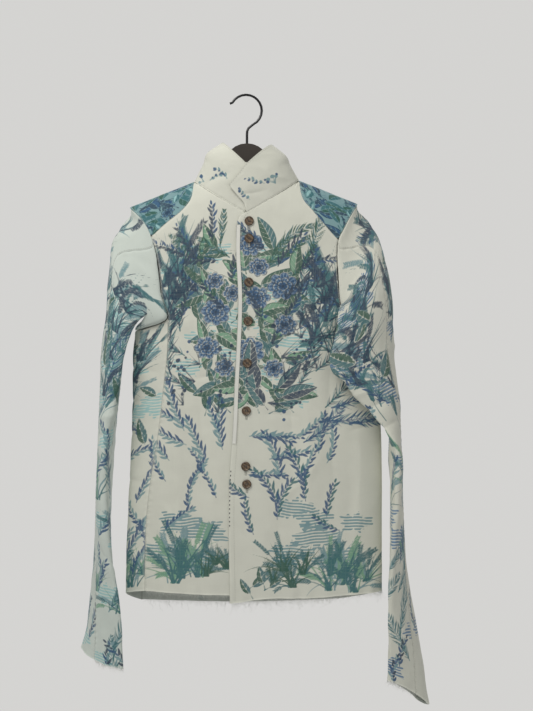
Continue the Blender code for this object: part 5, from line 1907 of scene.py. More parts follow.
@dataclass(frozen=True)
class HornFinish:
    """Brown horn-like button, streaked, with a darker rim."""

    name: str
    body: Rgb = (0.075, 0.048, 0.030)
    streak: Rgb = (0.23, 0.165, 0.105)
    rim: Rgb = (0.035, 0.02, 0.012)

    def material(self) -> Any:
        """Make the material."""
        material, wire, shader = new_material(self.name, 0.38)
        generated = wire.node("TexCoord")
        place = generated.outputs["Object"]
        streaks = wire.node("TexWave", wave_type="BANDS", bands_direction="DIAGONAL")
        wire.feed(streaks.inputs["Vector"], place)
        streaks.inputs["Scale"].default_value = 90.0
        streaks.inputs["Distortion"].default_value = 7.0
        streaks.inputs["Detail"].default_value = 3.0
        colour = wire.mix(wire.maths("MULTIPLY", streaks.outputs["Fac"], 0.75), rgba(self.body),
                          rgba(self.streak))
        middle = wire.node("VectorMath", operation="SUBTRACT")
        wire.feed(middle.inputs[0], generated.outputs["Generated"])
        middle.inputs[1].default_value = (0.5, 0.5, 0.5)
        flat = wire.node("VectorMath", operation="MULTIPLY")
        wire.feed(flat.inputs[0], middle.outputs[0])
        flat.inputs[1].default_value = (2.0, 0.0, 2.0)
        reach = wire.node("VectorMath", operation="LENGTH")
        wire.feed(reach.inputs[0], flat.outputs[0])
        rim = wire.maths("MULTIPLY_ADD", reach.outputs["Value"], 4.5, -3.6, clamp=True)
        wire.feed(shader.inputs["Base Color"], wire.mix(rim, colour, rgba(self.rim)))
        grain = wire.noise(place, 900.0, 2.0)
        wire.feed(shader.inputs["Roughness"], wire.maths("MULTIPLY_ADD", grain, 0.22, 0.28))
        bump = wire.node("Bump")
        bump.inputs["Strength"].default_value = 0.15
        bump.inputs["Distance"].default_value = 0.0003
        wire.feed(bump.inputs["Height"], streaks.outputs["Fac"])
        wire.feed(shader.inputs["Normal"], bump.outputs[0])
        return material


@dataclass(frozen=True)
class BoardFinish:
    """Dark stained board of the hanger, with grain along its arms."""

    name: str
    dark: Rgb = (0.016, 0.012, 0.009)
    pale: Rgb = (0.050, 0.036, 0.026)

    def material(self) -> Any:
        """Make the material."""
        material, wire, shader = new_material(self.name, 0.6)
        stretched = wire.node("Mapping")
        wire.feed(stretched.inputs["Vector"], wire.node("TexCoord").outputs["Object"])
        stretched.inputs["Scale"].default_value = (14.0, 90.0, 160.0)
        grain = wire.noise(stretched.outputs[0], 1.6, 6.0)
        wire.feed(shader.inputs["Base Color"], wire.mix(grain, rgba(self.dark), rgba(self.pale)))
        wire.feed(shader.inputs["Roughness"], wire.maths("MULTIPLY_ADD", grain, 0.3, 0.42))
        bump = wire.node("Bump")
        bump.inputs["Strength"].default_value = 0.25
        bump.inputs["Distance"].default_value = 0.0003
        wire.feed(bump.inputs["Height"], grain)
        wire.feed(shader.inputs["Normal"], bump.outputs[0])
        return material


@dataclass(frozen=True)
class WireFinish:
    """Black enamelled wire of the hook, rubbed on top."""

    name: str
    enamel: Rgb = (0.008, 0.008, 0.009)
    bare: Rgb = (0.09, 0.088, 0.085)

    def material(self) -> Any:
        """Make the material."""
        material, wire, shader = new_material(self.name, 0.35)
        place = wire.node("TexCoord").outputs["Object"]
        scuffs = wire.maths("MULTIPLY_ADD", wire.noise(place, 420.0, 4.0), 5.0, -3.1, clamp=True)
        wire.feed(shader.inputs["Base Color"], wire.mix(scuffs, rgba(self.enamel), rgba(self.bare)))
        wire.feed(shader.inputs["Roughness"], wire.maths("MULTIPLY_ADD", scuffs, 0.25, 0.30))
        shader.inputs["Metallic"].default_value = 0.35
        bump = wire.node("Bump")
        bump.inputs["Strength"].default_value = 0.12
        bump.inputs["Distance"].default_value = 0.0002
        wire.feed(bump.inputs["Height"], wire.noise(place, 700.0, 3.0))
        wire.feed(shader.inputs["Normal"], bump.outputs[0])
        return material


# ---- the jacket's pieces -----------------------------------------------------------------

DEEP = (Ink.NAVY, Ink.TEAL)
SEA = (Ink.TEAL, Ink.GREEN)
BLUE = (Ink.NAVY, Ink.LILAC, Ink.ROYAL)
MEADOW = (Ink.GREEN, Ink.SAGE)
MIST = (Ink.GREY_BLUE, Ink.AQUA)
NIGHT = (Ink.NAVY, Ink.ROYAL)
MIST_DEEP = (Ink.TEAL, Ink.GREY_BLUE, Ink.NAVY)
NIGHT_MIST = (Ink.ROYAL, Ink.GREY_BLUE, Ink.NAVY)
MEADOW_MIST = (Ink.TEAL, Ink.SAGE, Ink.GREY_BLUE)

RIGHT_FRONT_BEDS = (
    Bed(Plant.WASH, -60, 360, 50, 110, 7, 34, inks=(Ink.AQUA,)),
    Bed(Plant.WASH, -95, 690, 45, 40, 4, 34, inks=(Ink.GREY_BLUE,)),
    Bed(Plant.TUFT, -112, 345, 22, 60, 6, 84, -8, 20, MIST_DEEP),
    Bed(Plant.FERN, -92, 400, 36, 70, 5, 100, -30, 40, MIST_DEEP),
    Bed(Plant.EAR, -84, 330, 22, 20, 4, 88, -8, 22, (Ink.TEAL, Ink.GREY_BLUE)),
    Bed(Plant.LEAF, -42, 370, 38, 125, 24, 46, -30, 90, SEA),
    Bed(Plant.LEAF, -38, 350, 36, 120, 15, 42, 10, 120, MEADOW),
    Bed(Plant.FERN, -50, 265, 40, 30, 4, 70, -20, 50, SEA),
    Bed(Plant.BLOSSOM, -38, 330, 26, 105, 5, 40, 0, 180, BLUE),
    Bed(Plant.SPRIG, -62, 300, 46, 70, 8, 56, -20, 60, NIGHT),
    Bed(Plant.BERRY, -60, 440, 46, 60, 5, 42, -30, 60, NIGHT),
    Bed(Plant.SPRIG, -75, 540, 55, 40, 7, 64, -40, 50, (Ink.GREY_BLUE, Ink.ROYAL)),
    Bed(Plant.SPRIG, -80, 640, 55, 50, 6, 54, 20, 60, (Ink.ROYAL, Ink.GREY_BLUE)),
    Bed(Plant.TUFT, -98, 752, 28, 14, 5, 86, 0, 16, MEADOW_MIST),
    Bed(Plant.TUFT, -45, 740, 22, 16, 3, 54, 6, 18, SEA),
)
LEFT_FRONT_BEDS = (
    Bed(Plant.WASH, 50, 350, 60, 120, 9, 36, inks=(Ink.AQUA,)),
    Bed(Plant.WASH, 120, 680, 70, 50, 6, 38, inks=(Ink.GREY_BLUE,)),
    Bed(Plant.TUFT, 128, 350, 26, 60, 7, 88, 10, 20, MIST_DEEP),
    Bed(Plant.FERN, 112, 420, 36, 70, 6, 104, 35, 40, MIST_DEEP),
    Bed(Plant.EAR, 150, 360, 26, 30, 5, 90, 8, 22, (Ink.TEAL, Ink.GREY_BLUE)),
    Bed(Plant.LEAF, 24, 370, 48, 130, 34, 48, 30, 90, SEA),
    Bed(Plant.LEAF, 30, 350, 48, 125, 20, 44, -10, 120, MEADOW),
    Bed(Plant.FERN, 60, 260, 50, 30, 5, 70, 20, 50, SEA),
    Bed(Plant.BLOSSOM, 30, 320, 38, 110, 7, 42, 0, 180, BLUE),
    Bed(Plant.LEAF, 24, 462, 36, 26, 7, 56, 0, 80, DEEP),
    Bed(Plant.SPRIG, 66, 300, 54, 70, 9, 58, 20, 60, NIGHT),
    Bed(Plant.BERRY, 70, 440, 50, 60, 6, 44, 30, 60, NIGHT),
    Bed(Plant.FERN, 120, 520, 50, 30, 4, 90, 70, 30, (Ink.ROYAL, Ink.GREY_BLUE)),
    Bed(Plant.SPRIG, 60, 560, 75, 50, 9, 66, 40, 50, (Ink.GREY_BLUE, Ink.ROYAL)),
    Bed(Plant.SPRIG, 70, 660, 80, 50, 8, 56, -20, 60, (Ink.ROYAL, Ink.TEAL)),
    Bed(Plant.TUFT, 158, 762, 36, 16, 6, 92, 0, 16, MEADOW_MIST),
    Bed(Plant.TUFT, 66, 750, 30, 18, 4, 58, -6, 18, SEA),
    Bed(Plant.LEAF, 20, 770, 22, 10, 4, 26, 0, 70, SEA),
)
BACK_BEDS = (
    Bed(Plant.WASH, 0, 420, 110, 140, 12, 36, inks=(Ink.AQUA,)),
    Bed(Plant.TUFT, -100, 360, 40, 60, 7, 86, -10, 20, MIST_DEEP),
    Bed(Plant.TUFT, 100, 360, 40, 60, 7, 86, 10, 20, MIST_DEEP),
    Bed(Plant.LEAF, 0, 390, 70, 110, 30, 48, 0, 110, SEA),
    Bed(Plant.LEAF, 0, 370, 60, 110, 14, 42, 0, 120, MEADOW),
    Bed(Plant.BLOSSOM, 0, 370, 60, 100, 11, 44, 0, 180, BLUE),
    Bed(Plant.FERN, 0, 470, 120, 60, 9, 100, 0, 80, MIST_DEEP),
    Bed(Plant.SPRIG, 0, 330, 110, 70, 14, 58, 0, 60, NIGHT),
    Bed(Plant.BERRY, 0, 450, 110, 70, 9, 44, 0, 60, NIGHT),
    Bed(Plant.SPRIG, 0, 610, 150, 90, 20, 62, 0, 70, (Ink.GREY_BLUE, Ink.ROYAL)),
    Bed(Plant.TUFT, -95, 775, 60, 16, 6, 90, 0, 16, MEADOW_MIST),
    Bed(Plant.TUFT, 100, 770, 50, 18, 5, 84, 0, 18, SEA),
    Bed(Plant.EAR, 50, 600, 80, 40, 4, 88, 0, 25, (Ink.TEAL, Ink.GREY_BLUE)),
)
YOKE_BEDS = (
    Bed(Plant.WASH, 0, 40, 190, 185, 70, 26, inks=(Ink.GREY_BLUE,)),
    Bed(Plant.FERN, -130, -30, 60, 100, 26, 42, -10, 90, DEEP),
    Bed(Plant.FERN, 130, -30, 60, 100, 26, 42, 10, 90, DEEP),
    Bed(Plant.FERN, 0, 130, 180, 95, 60, 42, 0, 120, SEA),
    Bed(Plant.LEAF, -130, -30, 58, 100, 30, 34, 0, 170, NIGHT),
    Bed(Plant.LEAF, 130, -30, 58, 100, 30, 34, 0, 170, NIGHT),
    Bed(Plant.LEAF, 0, 50, 185, 180, 130, 32, 0, 170, SEA),
    Bed(Plant.LEAF, 0, 50, 185, 180, 60, 24, 0, 170, (Ink.TEAL, Ink.AQUA)),
    Bed(Plant.BLOSSOM, 0, 50, 180, 170, 24, 26, 0, 180, BLUE),
)
SIDE_BEDS = (
    Bed(Plant.WASH, 0, 140, 50, 110, 5, 34, inks=(Ink.AQUA,)),
    Bed(Plant.TUFT, 0, 110, 50, 60, 5, 80, 0, 25, MIST_DEEP),
    Bed(Plant.LEAF, 0, 120, 50, 80, 6, 44, 0, 120, SEA),
    Bed(Plant.SPRIG, 0, 260, 50, 150, 12, 58, 0, 60, (Ink.ROYAL, Ink.GREY_BLUE)),
    Bed(Plant.TUFT, 0, 400, 46, 16, 4, 80, 0, 18, MEADOW_MIST),
)
COLLAR_BEDS = (
    Bed(Plant.SPRIG, 0, 50, 200, 12, 7, 24, 20, 60, (Ink.GREY_BLUE, Ink.ROYAL)),
    Bed(Plant.BERRY, 20, 56, 180, 12, 3, 18, 0, 90, (Ink.GREY_BLUE, Ink.ROYAL)),
)


def sleeve_beds(wash: Ink, shift: float) -> tuple[Bed, ...]:
    """Print of a sleeve: feathery and dense above the elbow, sparse below it.

    Args:
        wash: Ink of the pale brushed patches.
        shift: How far the plants are moved down the sleeve.

    Returns:
        The beds.
    """
    return (
        Bed(Plant.WASH, 0, 150 + shift, 55, 110, 7, 36, inks=(wash,)),
        Bed(Plant.WASH, 0, 470 + shift, 50, 220, 5, 32, inks=(wash,)),
        Bed(Plant.TUFT, 0, 150 + shift, 80, 100, 14, 88, 0, 24, MIST_DEEP),
        Bed(Plant.FERN, 0, 190 + shift, 75, 100, 9, 92, 0, 45, (Ink.TEAL, Ink.GREY_BLUE, Ink.ROYAL)),
        Bed(Plant.LEAF, 0, 170 + shift, 70, 60, 7, 44, 0, 100, SEA),
                Bed(Plant.EAR, 0, 290 + shift, 45, 30, 3, 84, 0, 20, (Ink.TEAL, Ink.GREY_BLUE)),
        Bed(Plant.SPRIG, 0, 400 + shift, 50, 180, 11, 64, 0, 50, (Ink.GREY_BLUE, Ink.ROYAL)),
        Bed(Plant.TUFT, 0, 430 + shift, 46, 130, 4, 70, 0, 25, MEADOW_MIST),
        Bed(Plant.FERN, 0, 600 + shift, 45, 90, 5, 84, 0, 40, (Ink.GREY_BLUE, Ink.TEAL)),
        Bed(Plant.SPRIG, 0, 690 + shift, 45, 40, 5, 52, 0, 50, NIGHT_MIST),
    )


FRONT_CREASES = (
    Crease(-122, 300, -40, 405, -1.7, 7, 6, 1.3), Crease(-118, 322, -52, 452, 1.5, 10, 8, 1.6),
    Crease(146, 310, 52, 400, -1.8, 7, -6, 1.3), Crease(150, 335, 70, 455, 1.6, 11, -8, 1.6),
    Crease(-95, 205, -60, 300, 1.3, 11, 4), Crease(98, 206, 66, 318, 1.5, 12, -5),
    Crease(60, 420, 70, 560, -1.3, 8, 5, 1.2), Crease(95, 470, 88, 700, 1.7, 13, 6),
    Crease(130, 430, 142, 640, -1.5, 9, -5, 1.3), Crease(176, 520, 168, 755, 1.5, 12, 4),
    Crease(-75, 470, -70, 620, -1.3, 8, 5, 1.2), Crease(-108, 500, -96, 740, 1.5, 12, -4),
    Crease(-52, 620, -46, 770, 1.3, 11, 3), Crease(48, 600, 46, 775, -1.4, 11, 4, 1.4),
    Crease(24, 300, 74, 312, -0.8, 4, 2, 1.2), Crease(24, 362, 80, 378, -0.9, 4, 2, 1.2),
    Crease(24, 428, 76, 440, -0.8, 4, -2, 1.2), Crease(-30, 360, -78, 372, -0.8, 4, -2, 1.2),
    Crease(-30, 430, -82, 446, -0.9, 4, 2, 1.2), Crease(26, 500, 84, 506, -0.8, 5, 3, 1.2),
    Crease(-146, 430, -112, 438, -1.0, 4, 1, 1.2), Crease(-150, 470, -118, 474, -1.0, 4, 1, 1.2),
    Crease(196, 450, 150, 462, -1.1, 5, 2, 1.2), Crease(198, 520, 158, 528, -1.0, 5, -2, 1.2),
    Crease(120, 560, 40, 640, 0.9, 8, 8), Crease(-130, 640, -70, 690, 0.8, 7, -5),
)
BACK_CREASES = (
    Crease(-150, 300, -60, 430, -1.7, 9, 8, 1.3), Crease(150, 300, 60, 430, -1.7, 9, -8, 1.3),
    Crease(-40, 280, -48, 520, 1.6, 13, 5), Crease(52, 280, 60, 540, 1.6, 13, -5),
    Crease(0, 420, 6, 700, -1.6, 10, 5, 1.3), Crease(-110, 480, -120, 770, 1.7, 14, 6),
    Crease(110, 480, 122, 770, 1.7, 14, -6), Crease(-70, 560, -76, 780, -1.4, 10, 4, 1.4),
    Crease(76, 560, 84, 780, -1.4, 10, -4, 1.4), Crease(-160, 420, -100, 432, -1.0, 5, 2, 1.2),
    Crease(160, 430, 104, 444, -1.0, 5, -2, 1.2), Crease(-150, 520, -90, 536, -0.9, 5, 3, 1.2),
)
YOKE_CREASES = (
    Crease(-150, -40, -90, -70, -0.9, 6, 3, 1.3), Crease(140, -40, 90, -74, -0.9, 6, -3, 1.3),
    Crease(-100, 60, 90, 70, -1.0, 9, 6, 1.5),
)
COLLAR_CREASES = (
    Crease(-150, 30, -120, 74, -1.1, 5, 2, 1.2), Crease(-60, 20, -86, 70, 1.0, 8, 2),
    Crease(60, 24, 84, 72, -1.1, 6, 3, 1.3), Crease(150, 20, 118, 66, 1.1, 7, 3),
    Crease(-200, 40, -150, 52, -0.9, 4, 2, 1.2), Crease(200, 36, 160, 58, -0.9, 4, 2, 1.2),
    Crease(-20, 30, 30, 40, -0.8, 5, 3, 1.3),
)
SIDE_CREASES = (
    Crease(-40, 60, 40, 78, -1.1, 5, 3, 1.2), Crease(-40, 110, 40, 120, -1.1, 5, -3, 1.2),
    Crease(-36, 170, 38, 176, -1.0, 5, 3, 1.2), Crease(0, 190, 4, 400, 1.3, 10, 4),
    Crease(-30, 240, 30, 252, -0.9, 6, 3, 1.2),
)


def sleeve_creases(elbow: float, way: float) -> tuple[Crease, ...]:
    """Folds of a sleeve: pulls at the armhole, a crush at the elbow, soft twists below.

    Args:
        elbow: How far down the sleeve its elbow lies, in mm.
        way: 1 or -1, the side to which the folds swing.

    Returns:
        The creases.
    """
    return (
        Crease(-30, 14, -16, 130, 1.5, 8, 4 * way), Crease(26, 10, 8, 140, -1.5, 7, 4 * way, 1.3),
        Crease(48, 18, 34, 120, 1.2, 8, -3 * way),
        Crease(-46 * way, elbow - 62, 38 * way, elbow - 34, -1.9, 6, 7, 1.2),
        Crease(-50 * way, elbow - 30, 40 * way, elbow - 8, 1.6, 8, 6, 1.4),
        Crease(-48 * way, elbow - 8, 30 * way, elbow + 20, -2.0, 6, 6, 1.2),
        Crease(-44 * way, elbow + 26, 44 * way, elbow + 62, -1.5, 6, 6, 1.2),
        Crease(40 * way, elbow - 88, -10 * way, elbow - 60, 1.2, 7, 4),
        Crease(-10, elbow + 80, 8, elbow + 250, 1.5, 10, 6 * way),
        Crease(20, elbow + 120, -4, elbow + 330, -1.4, 8, -5 * way, 1.3),
        Crease(-34, elbow + 180, 30, elbow + 236, -1.1, 6, 4, 1.2),
        Crease(-26, elbow + 320, -10, elbow + 440, 1.1, 8, 3 * way),
    )


@dataclass
class ClothPart:
    """A sub-assembly sewn from several cuts."""

    cuts: tuple[Cut, ...]
    slot: str = "printed_canvas"
    shells: dict[str, bpy.types.Object] = field(default_factory=dict)

    def build(self, finish: Any, lining: Any) -> None:
        """Make and dress every cut's shell.

        Args:
            finish: Material of the outer faces.
            lining: Material of the inner faces.
        """
        for cut in self.cuts:
            shell = cut.build(finish, lining)
            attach(shell, "root")
            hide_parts(cut.name)
            self.shells[cut.name] = shell
            LOG.info("%s: %d faces", shell.name, len(shell.data.polygons))

    def declare(self, rests_on: Sequence[str], extras: dict[str, list[Any]]) -> None:
        """Leave the shells as they are; nothing is declared here.

        Args:
            rests_on: What the sheets would hang from; not used.
            extras: Pieces that go with a cut, by its name; not used.
        """

    def cut(self, name: str) -> Cut:
        """The cut of that name."""
        return next(cut for cut in self.cuts if cut.name == name)


def body_part() -> ClothPart:
    """Fronts, side panels and back."""
    return ClothPart((
        Cut("front_left", front_left_point, 16, FRONT_ROWS, 1.5, (0.5, 0.5, 0, -1, 0),
            (0.260, 0.670), 0.1345, LEFT_FRONT_BEDS, by_front, FRONT_CREASES, seed=11, hem=True,
            calm=True,
            pucker=(0.12, 0.4, 0.2, 0.0), insets=(0.0, 0.1, 0.1, 0.0)),
        Cut("front_right", front_right_point, 16, FRONT_ROWS, 1.5, (0.5, 0.5, 0, -1, 0),
            (0.178, 0.653), 0.0965, RIGHT_FRONT_BEDS, by_front, FRONT_CREASES, seed=12, hem=True,
            calm=True,
            pucker=(0.4, 0.0, 0.2, 0.0)),
        Cut("side_right", side_right_point, 8, 14, 2.0, (0.5, 0.5, -1, 0, 0), (0.100, 0.447),
            0.0344, SIDE_BEDS, laid_flat, SIDE_CREASES, seed=13, hem=True),
        Cut("side_left", side_left_point, 6, 12, 2.0, (0.5, 0.5, 1, 0, 0), (0.063, 0.478),
            0.0249, SIDE_BEDS, laid_flat, SIDE_CREASES, seed=14, hem=True),
        Cut("back", back_point, 14, 20, 2.4, (0.5, 0.5, 0, 1, 0), (0.317, 0.549), 0.1671,
            BACK_BEDS, by_back, BACK_CREASES, seed=15, hem=True),
    ))


def yoke_part() -> ClothPart:
    """The yoke over both shoulders."""
    def point(u: float, w: float) -> np.ndarray:
        """Yoke kept clear of its two pointed ends."""
        return yoke_point(min(max(u, 0.004), 0.996), w)
    return ClothPart((
        Cut("yoke", point, 40, 5, 1.6, (0.02, 0.5, 0, -1, 0), (0.638, 0.164), 0.0483, YOKE_BEDS,
            by_yoke, YOKE_CREASES, crumple_depth=0.4, insets=(0.1, 0.1, 0.2, 0.1), seed=21,
            pucker=(0.1, 0.1, 0.2, 0.2)),
    ), "yoke_canvas")


def collar_part() -> ClothPart:
    """The stand collar."""
    return ClothPart((
        Cut("collar", collar_sheet_point, 34, 7, 1.5, (0.44, 0.5, 0, 1, 0), (0.447, 0.078),
            0.0280, COLLAR_BEDS, laid_flat, COLLAR_CREASES, insets=(0.0, 0.0, 0.0, 0.5), seed=31,
            crumple_depth=0.6, pucker=(0.0, 0.0, 0.0, 0.25)),
    ))


def sleeve_part(side: str, sleeve: Sleeve, elbow: float, wash: Ink, seed: int,
                sizes: tuple[tuple[float, float, float], ...]) -> ClothPart:
    """One sleeve of two pieces.

    Args:
        side: "right" or "left".
        sleeve: Rings of the sleeve.
        elbow: How far down its elbow lies.
        wash: Ink of its pale patches.
        seed: Number that fixes its small wrinkles.
        sizes: Flat width, length and area of the under and the upper piece, in metres.

    Returns:
        The sleeve.
    """
    way = -1.0 if side == "right" else 1.0
    shared = {"insets": (0.12, 0.12, 0.3, 0.0), "crumple_depth": 0.7, "hem": True}
    return ClothPart((
        Cut(f"sleeve_{side}_under", sleeve.under_point, 11, 24, 1.65, (0.2, 0.5, 0, -1, 0),
            sizes[0][:2], sizes[0][2], sleeve_beds(wash, 10), laid_flat,
            sleeve_creases(elbow, way), seed=seed, **shared),
        Cut(f"sleeve_{side}_upper", sleeve.upper_point, 11, 24, 1.65, (0.9, 0.5, 0, -1, 0),
            sizes[1][:2], sizes[1][2], sleeve_beds(wash, 0), laid_flat,
            sleeve_creases(elbow, -way), seed=seed + 1, **shared),
    ))


@dataclass
class FrontEdge:
    """Raised strip, buttonholes and stitches along the lap of the fronts."""

    stitch: float = 3.0
    gap: float = 1.0
    thread: float = 0.22
    slit_above: float = 6.0
    slit_below: float = 13.0
    slit_half_width: float = 1.1
    mark_first: float = 588.0
    mark_last: float = 672.0
    mark_count: int = 14

    def strip(self) -> ClothPart:
        """The raised fold, made from the front's own points moved out."""
        def point(u: float, w: float) -> np.ndarray:
            """Place on the strip."""
            drop = STRIP_TOP + (STRIP_BOTTOM - STRIP_TOP) * w
            return front_out_point(free_edge_x(drop) + 0.4 + STRIP_WIDTH * u, drop,
                                   0.3 + STRIP_THICKNESS / 2)
        return ClothPart((
            Cut("front_edge_strip", point, 2, 18, 1.5, (0.5, 0.5, 0, -1, 0), (0.0124, 0.337),
                0.0021, (), by_front, (), crumple_depth=0.0, insets=(0.0, 0.0, 0.0, 0.0),
                pucker=(0.0, 0.0, 0.0, 0.0), thickness=STRIP_THICKNESS, seed=41),
        ))

    def marks(self, material: Any) -> bpy.types.Object:
        """Row of dark stitches low on the free edge."""
        strands = Strands("edge_marks")
        for drop in np.linspace(self.mark_first, self.mark_last, self.mark_count):
            path = np.array([front_out_point(free_edge_x(drop) + 1.8, drop + a, 0.25)
                             for a in (-1.3, -0.4, 0.4, 1.3)])
            strands.add(path, np.array([0.35, 0.75, 0.75, 0.35]))
        return strands.build(material)

    def buttonholes(self, material: Any) -> bpy.types.Object:
        """Worked vertical buttonholes behind the buttons."""
        strands = Strands("buttonholes")
        for x, drop in BUTTONS:
            for step in np.arange(-self.slit_above, self.slit_below, 0.75):
                for side in (-1, 1):
                    path = np.array([front_out_point(x + side * a, drop + step, lift)
                                     for a, lift in ((0.25, 0.05), (0.8, 0.4), (1.5, 0.4),
                                                     (1.9, 0.05))])
                    strands.add(path, np.array([0.2, 0.34, 0.34, 0.2]))
            for end in (-self.slit_above, self.slit_below):
                path = np.array([front_out_point(x + a, drop + end, lift)
                                 for a, lift in ((-1.9, 0.05), (-0.8, 0.5), (0.8, 0.5),
                                                 (1.9, 0.05))])
                strands.add(path, np.array([0.3, 0.5, 0.5, 0.3]))
        return strands.build(material)


@dataclass
class Buttons:
    """Eight horn buttons, and the thread that holds them."""

    gap: float = 0.35
    hole_way: float = 1.34
    face: float = 1.7
    thread: float = 0.26

    def frame_at(self, x: float, drop: float) -> tuple[np.ndarray, ...]:
        """Middle of a button's back, and its right, up and outward ways.

        Args:
            x: Place across.
            drop: Distance below the origin.

        Returns:
            The middle and the three ways.
        """
        middle = front_out_point(x, drop, self.gap)
        right = front_out_point(x + 5, drop, self.gap) - front_out_point(x - 5, drop, self.gap)
        up = front_out_point(x, drop - 5, self.gap) - front_out_point(x, drop + 5, self.gap)
        right, up = right / np.linalg.norm(right), up / np.linalg.norm(up)
        return middle, right, up, np.cross(right, up)

    def threads(self, material: Any) -> bpy.types.Object:
        """Thread that runs through each button's four holes."""
        strands = Strands("button_threads")
        for x, drop in BUTTONS:
            middle, right, up, out = self.frame_at(x, drop)
            for side in (-1, 1):
                for strand in (-0.28, 0.0, 0.28):
                    path = np.array([middle + right * (side * self.hole_way + strand)
                                     + up * a * self.hole_way + out * (self.face + lift)
                                     for a, lift in ((-1.0, -0.8), (-0.8, 0.12), (0.0, 0.3),
                                                     (0.8, 0.12), (1.0, -0.8))])
                    strands.add(path, np.full(5, self.thread))
        return strands.build(material)


@dataclass
class FrayedEdge:
    """Loose threads below a cut edge, in place of one comb of the solid."""

    node: str
    cut: Cut
    first: float                # shares along the edge
    last: float
    length: float = 7.0
    long_length: float = 19.0
    spacing: float = 0.55
    radius: float = 0.17
    seed: int = 5

    def build(self, material: Any) -> bpy.types.Object:
        """Make the threads from the shell's own low edge."""
        rng = np.random.default_rng(self.seed)
        edge = self.cut.outer[:, -1] - self.cut.normals[:, -1] * self.cut.thickness / 2
        lengths = np.linalg.norm(np.diff(edge, axis=0), axis=1)
        run = np.concatenate([[0.0], np.cumsum(lengths)])
        strands = Strands(f"{self.node}_threads", sides=3)
        count = int(run[-1] * (self.last - self.first) / self.spacing)
        for k in range(count):
            at = run[-1] * (self.first + (self.last - self.first) * (k + rng.random()) / count)
            root = np.array([np.interp(at, run, edge[:, axis]) for axis in range(3)])
            kind = rng.random()
            length = self.length * rng.uniform(0.25, 0.75)
            if kind > 0.62:
                length = self.length * rng.uniform(0.7, 1.4)
            if kind > 0.93:
                length = self.long_length * rng.uniform(0.6, 1.0)
            share = np.linspace(0, 1, 6)
            lean, curl = rng.normal(0, 0.22), rng.normal(0, 0.30)
            sway, depth = rng.normal(0, 0.12), rng.normal(0, 0.05)
            across = length * (lean * share + curl * share ** 2
                               + sway * np.sin(share * 7 + kind * 6))
            path = np.stack([root[0] + across, root[1] + length * depth * np.sin(share * 5),
                             root[2] + 1.2 - (length + 1.2) * share], axis=1)
            strands.add(path, self.radius * (1 - 0.55 * share))
        return strands.build(material)


@dataclass
class Studio:
    """Camera, floor, world and soft lights."""

    lens: float = 52.0
    film: float = 36.0
    camera_place: tuple[float, float, float] = (0.0323, -1.62, -0.4093)
    floor_drop: float = 1.45
    floor_reach: float = 1.35
    wall_colour: Rgb = (0.66, 0.655, 0.64)
    room_light: float = 0.62

    def build(self) -> None:
        """Set up everything that isn't the jacket."""
        self.camera()
        self.world()
        self.floor()
        self.area("key", (-0.75, -1.15, 0.95), 0.9, 21.0, (1.0, 0.985, 0.955))
        self.area("fill", (1.3, -1.6, 0.3), 1.8, 3.0, (0.96, 0.98, 1.0))
        self.area("rear", (0.3, 1.9, 0.8), 1.8, 22.0, (1.0, 1.0, 1.0))

    def camera(self) -> None:
        """Camera level with the middle of the jacket, looking straight at it."""
        data = bpy.data.cameras.new("camera")
        data.lens = self.lens
        data.sensor_fit = "VERTICAL"
        data.sensor_height = self.film
        camera = bpy.data.objects.new("camera", data)
        camera.location = self.camera_place
        camera.rotation_euler = (math.pi / 2, 0.0, 0.0)
        bpy.context.scene.collection.objects.link(camera)
        bpy.context.scene.camera = camera

    def world(self) -> None:
        """Even pale surroundings."""
        world = bpy.data.worlds.new("pale room")
        world.use_nodes = True
        background = world.node_tree.nodes["Background"]
        background.inputs["Color"].default_value = rgba(self.wall_colour)
        wire = Wiring(world.node_tree)
        seen = wire.node("LightPath").outputs["Is Camera Ray"]
        wire.feed(background.inputs["Strength"],
                  wire.maths("MULTIPLY_ADD", seen, 1.0 - self.room_light, self.room_light))
        bpy.context.scene.world = world
        bpy.context.scene.view_settings.view_transform = "Standard"

    def floor(self) -> None:
        """Round pale floor well below the hem."""
        count = 64
        rim = [(self.floor_reach * math.cos(2 * math.pi * k / count),
                self.floor_reach * math.sin(2 * math.pi * k / count), -self.floor_drop)
               for k in range(count)]
        mesh = bpy.data.meshes.new("floor")
        mesh.from_pydata(rim, [], [list(range(count))])
        material, wire, shader = new_material("pale floor", 0.85)
        place = wire.node("TexCoord").outputs["Object"]
        colour = wire.mix(wire.noise(place, 6.0, 4.0), rgba((0.70, 0.71, 0.72)),
                          rgba((0.76, 0.77, 0.78)))
        wire.feed(shader.inputs["Base Color"], colour)
        mesh.materials.append(material)
        floor = bpy.data.objects.new("floor", mesh)
        bpy.context.scene.collection.objects.link(floor)

    def area(self, name: str, place: tuple[float, float, float], size: float, power: float,
             colour: Rgb) -> None:
        """One soft lamp aimed at the middle of the jacket.

        Args:
            name: Name of the lamp.
            place: Where it stands, in metres.
            size: Side of its square face, in metres.
            power: Its power in watts.
            colour: Its colour.
        """
        data = bpy.data.lights.new(name, "AREA")
        data.size = size
        data.energy = power
        data.color = colour
        lamp = bpy.data.objects.new(name, data)
        lamp.location = place
        aim = np.array([0.03, 0.0, -0.45]) - np.array(place)
        aim /= np.linalg.norm(aim)
        lamp.rotation_euler = (math.acos(-aim[2]), 0.0, math.atan2(aim[1], aim[0]) - math.pi / 2)
        bpy.context.scene.collection.objects.link(lamp)


def dress_node(thing: Any, material: Any) -> None:
    """Give a CAD node a better material in all its slots."""
    for slot in thing.material_slots:
        slot.material = material


def keep_with_cloth(thing: Any) -> Any:
    """Let a small sewn piece ride with the jacket."""
    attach(thing, "root")
    LOG.info("%s: %d faces", thing.name, len(thing.data.polygons))
    return thing


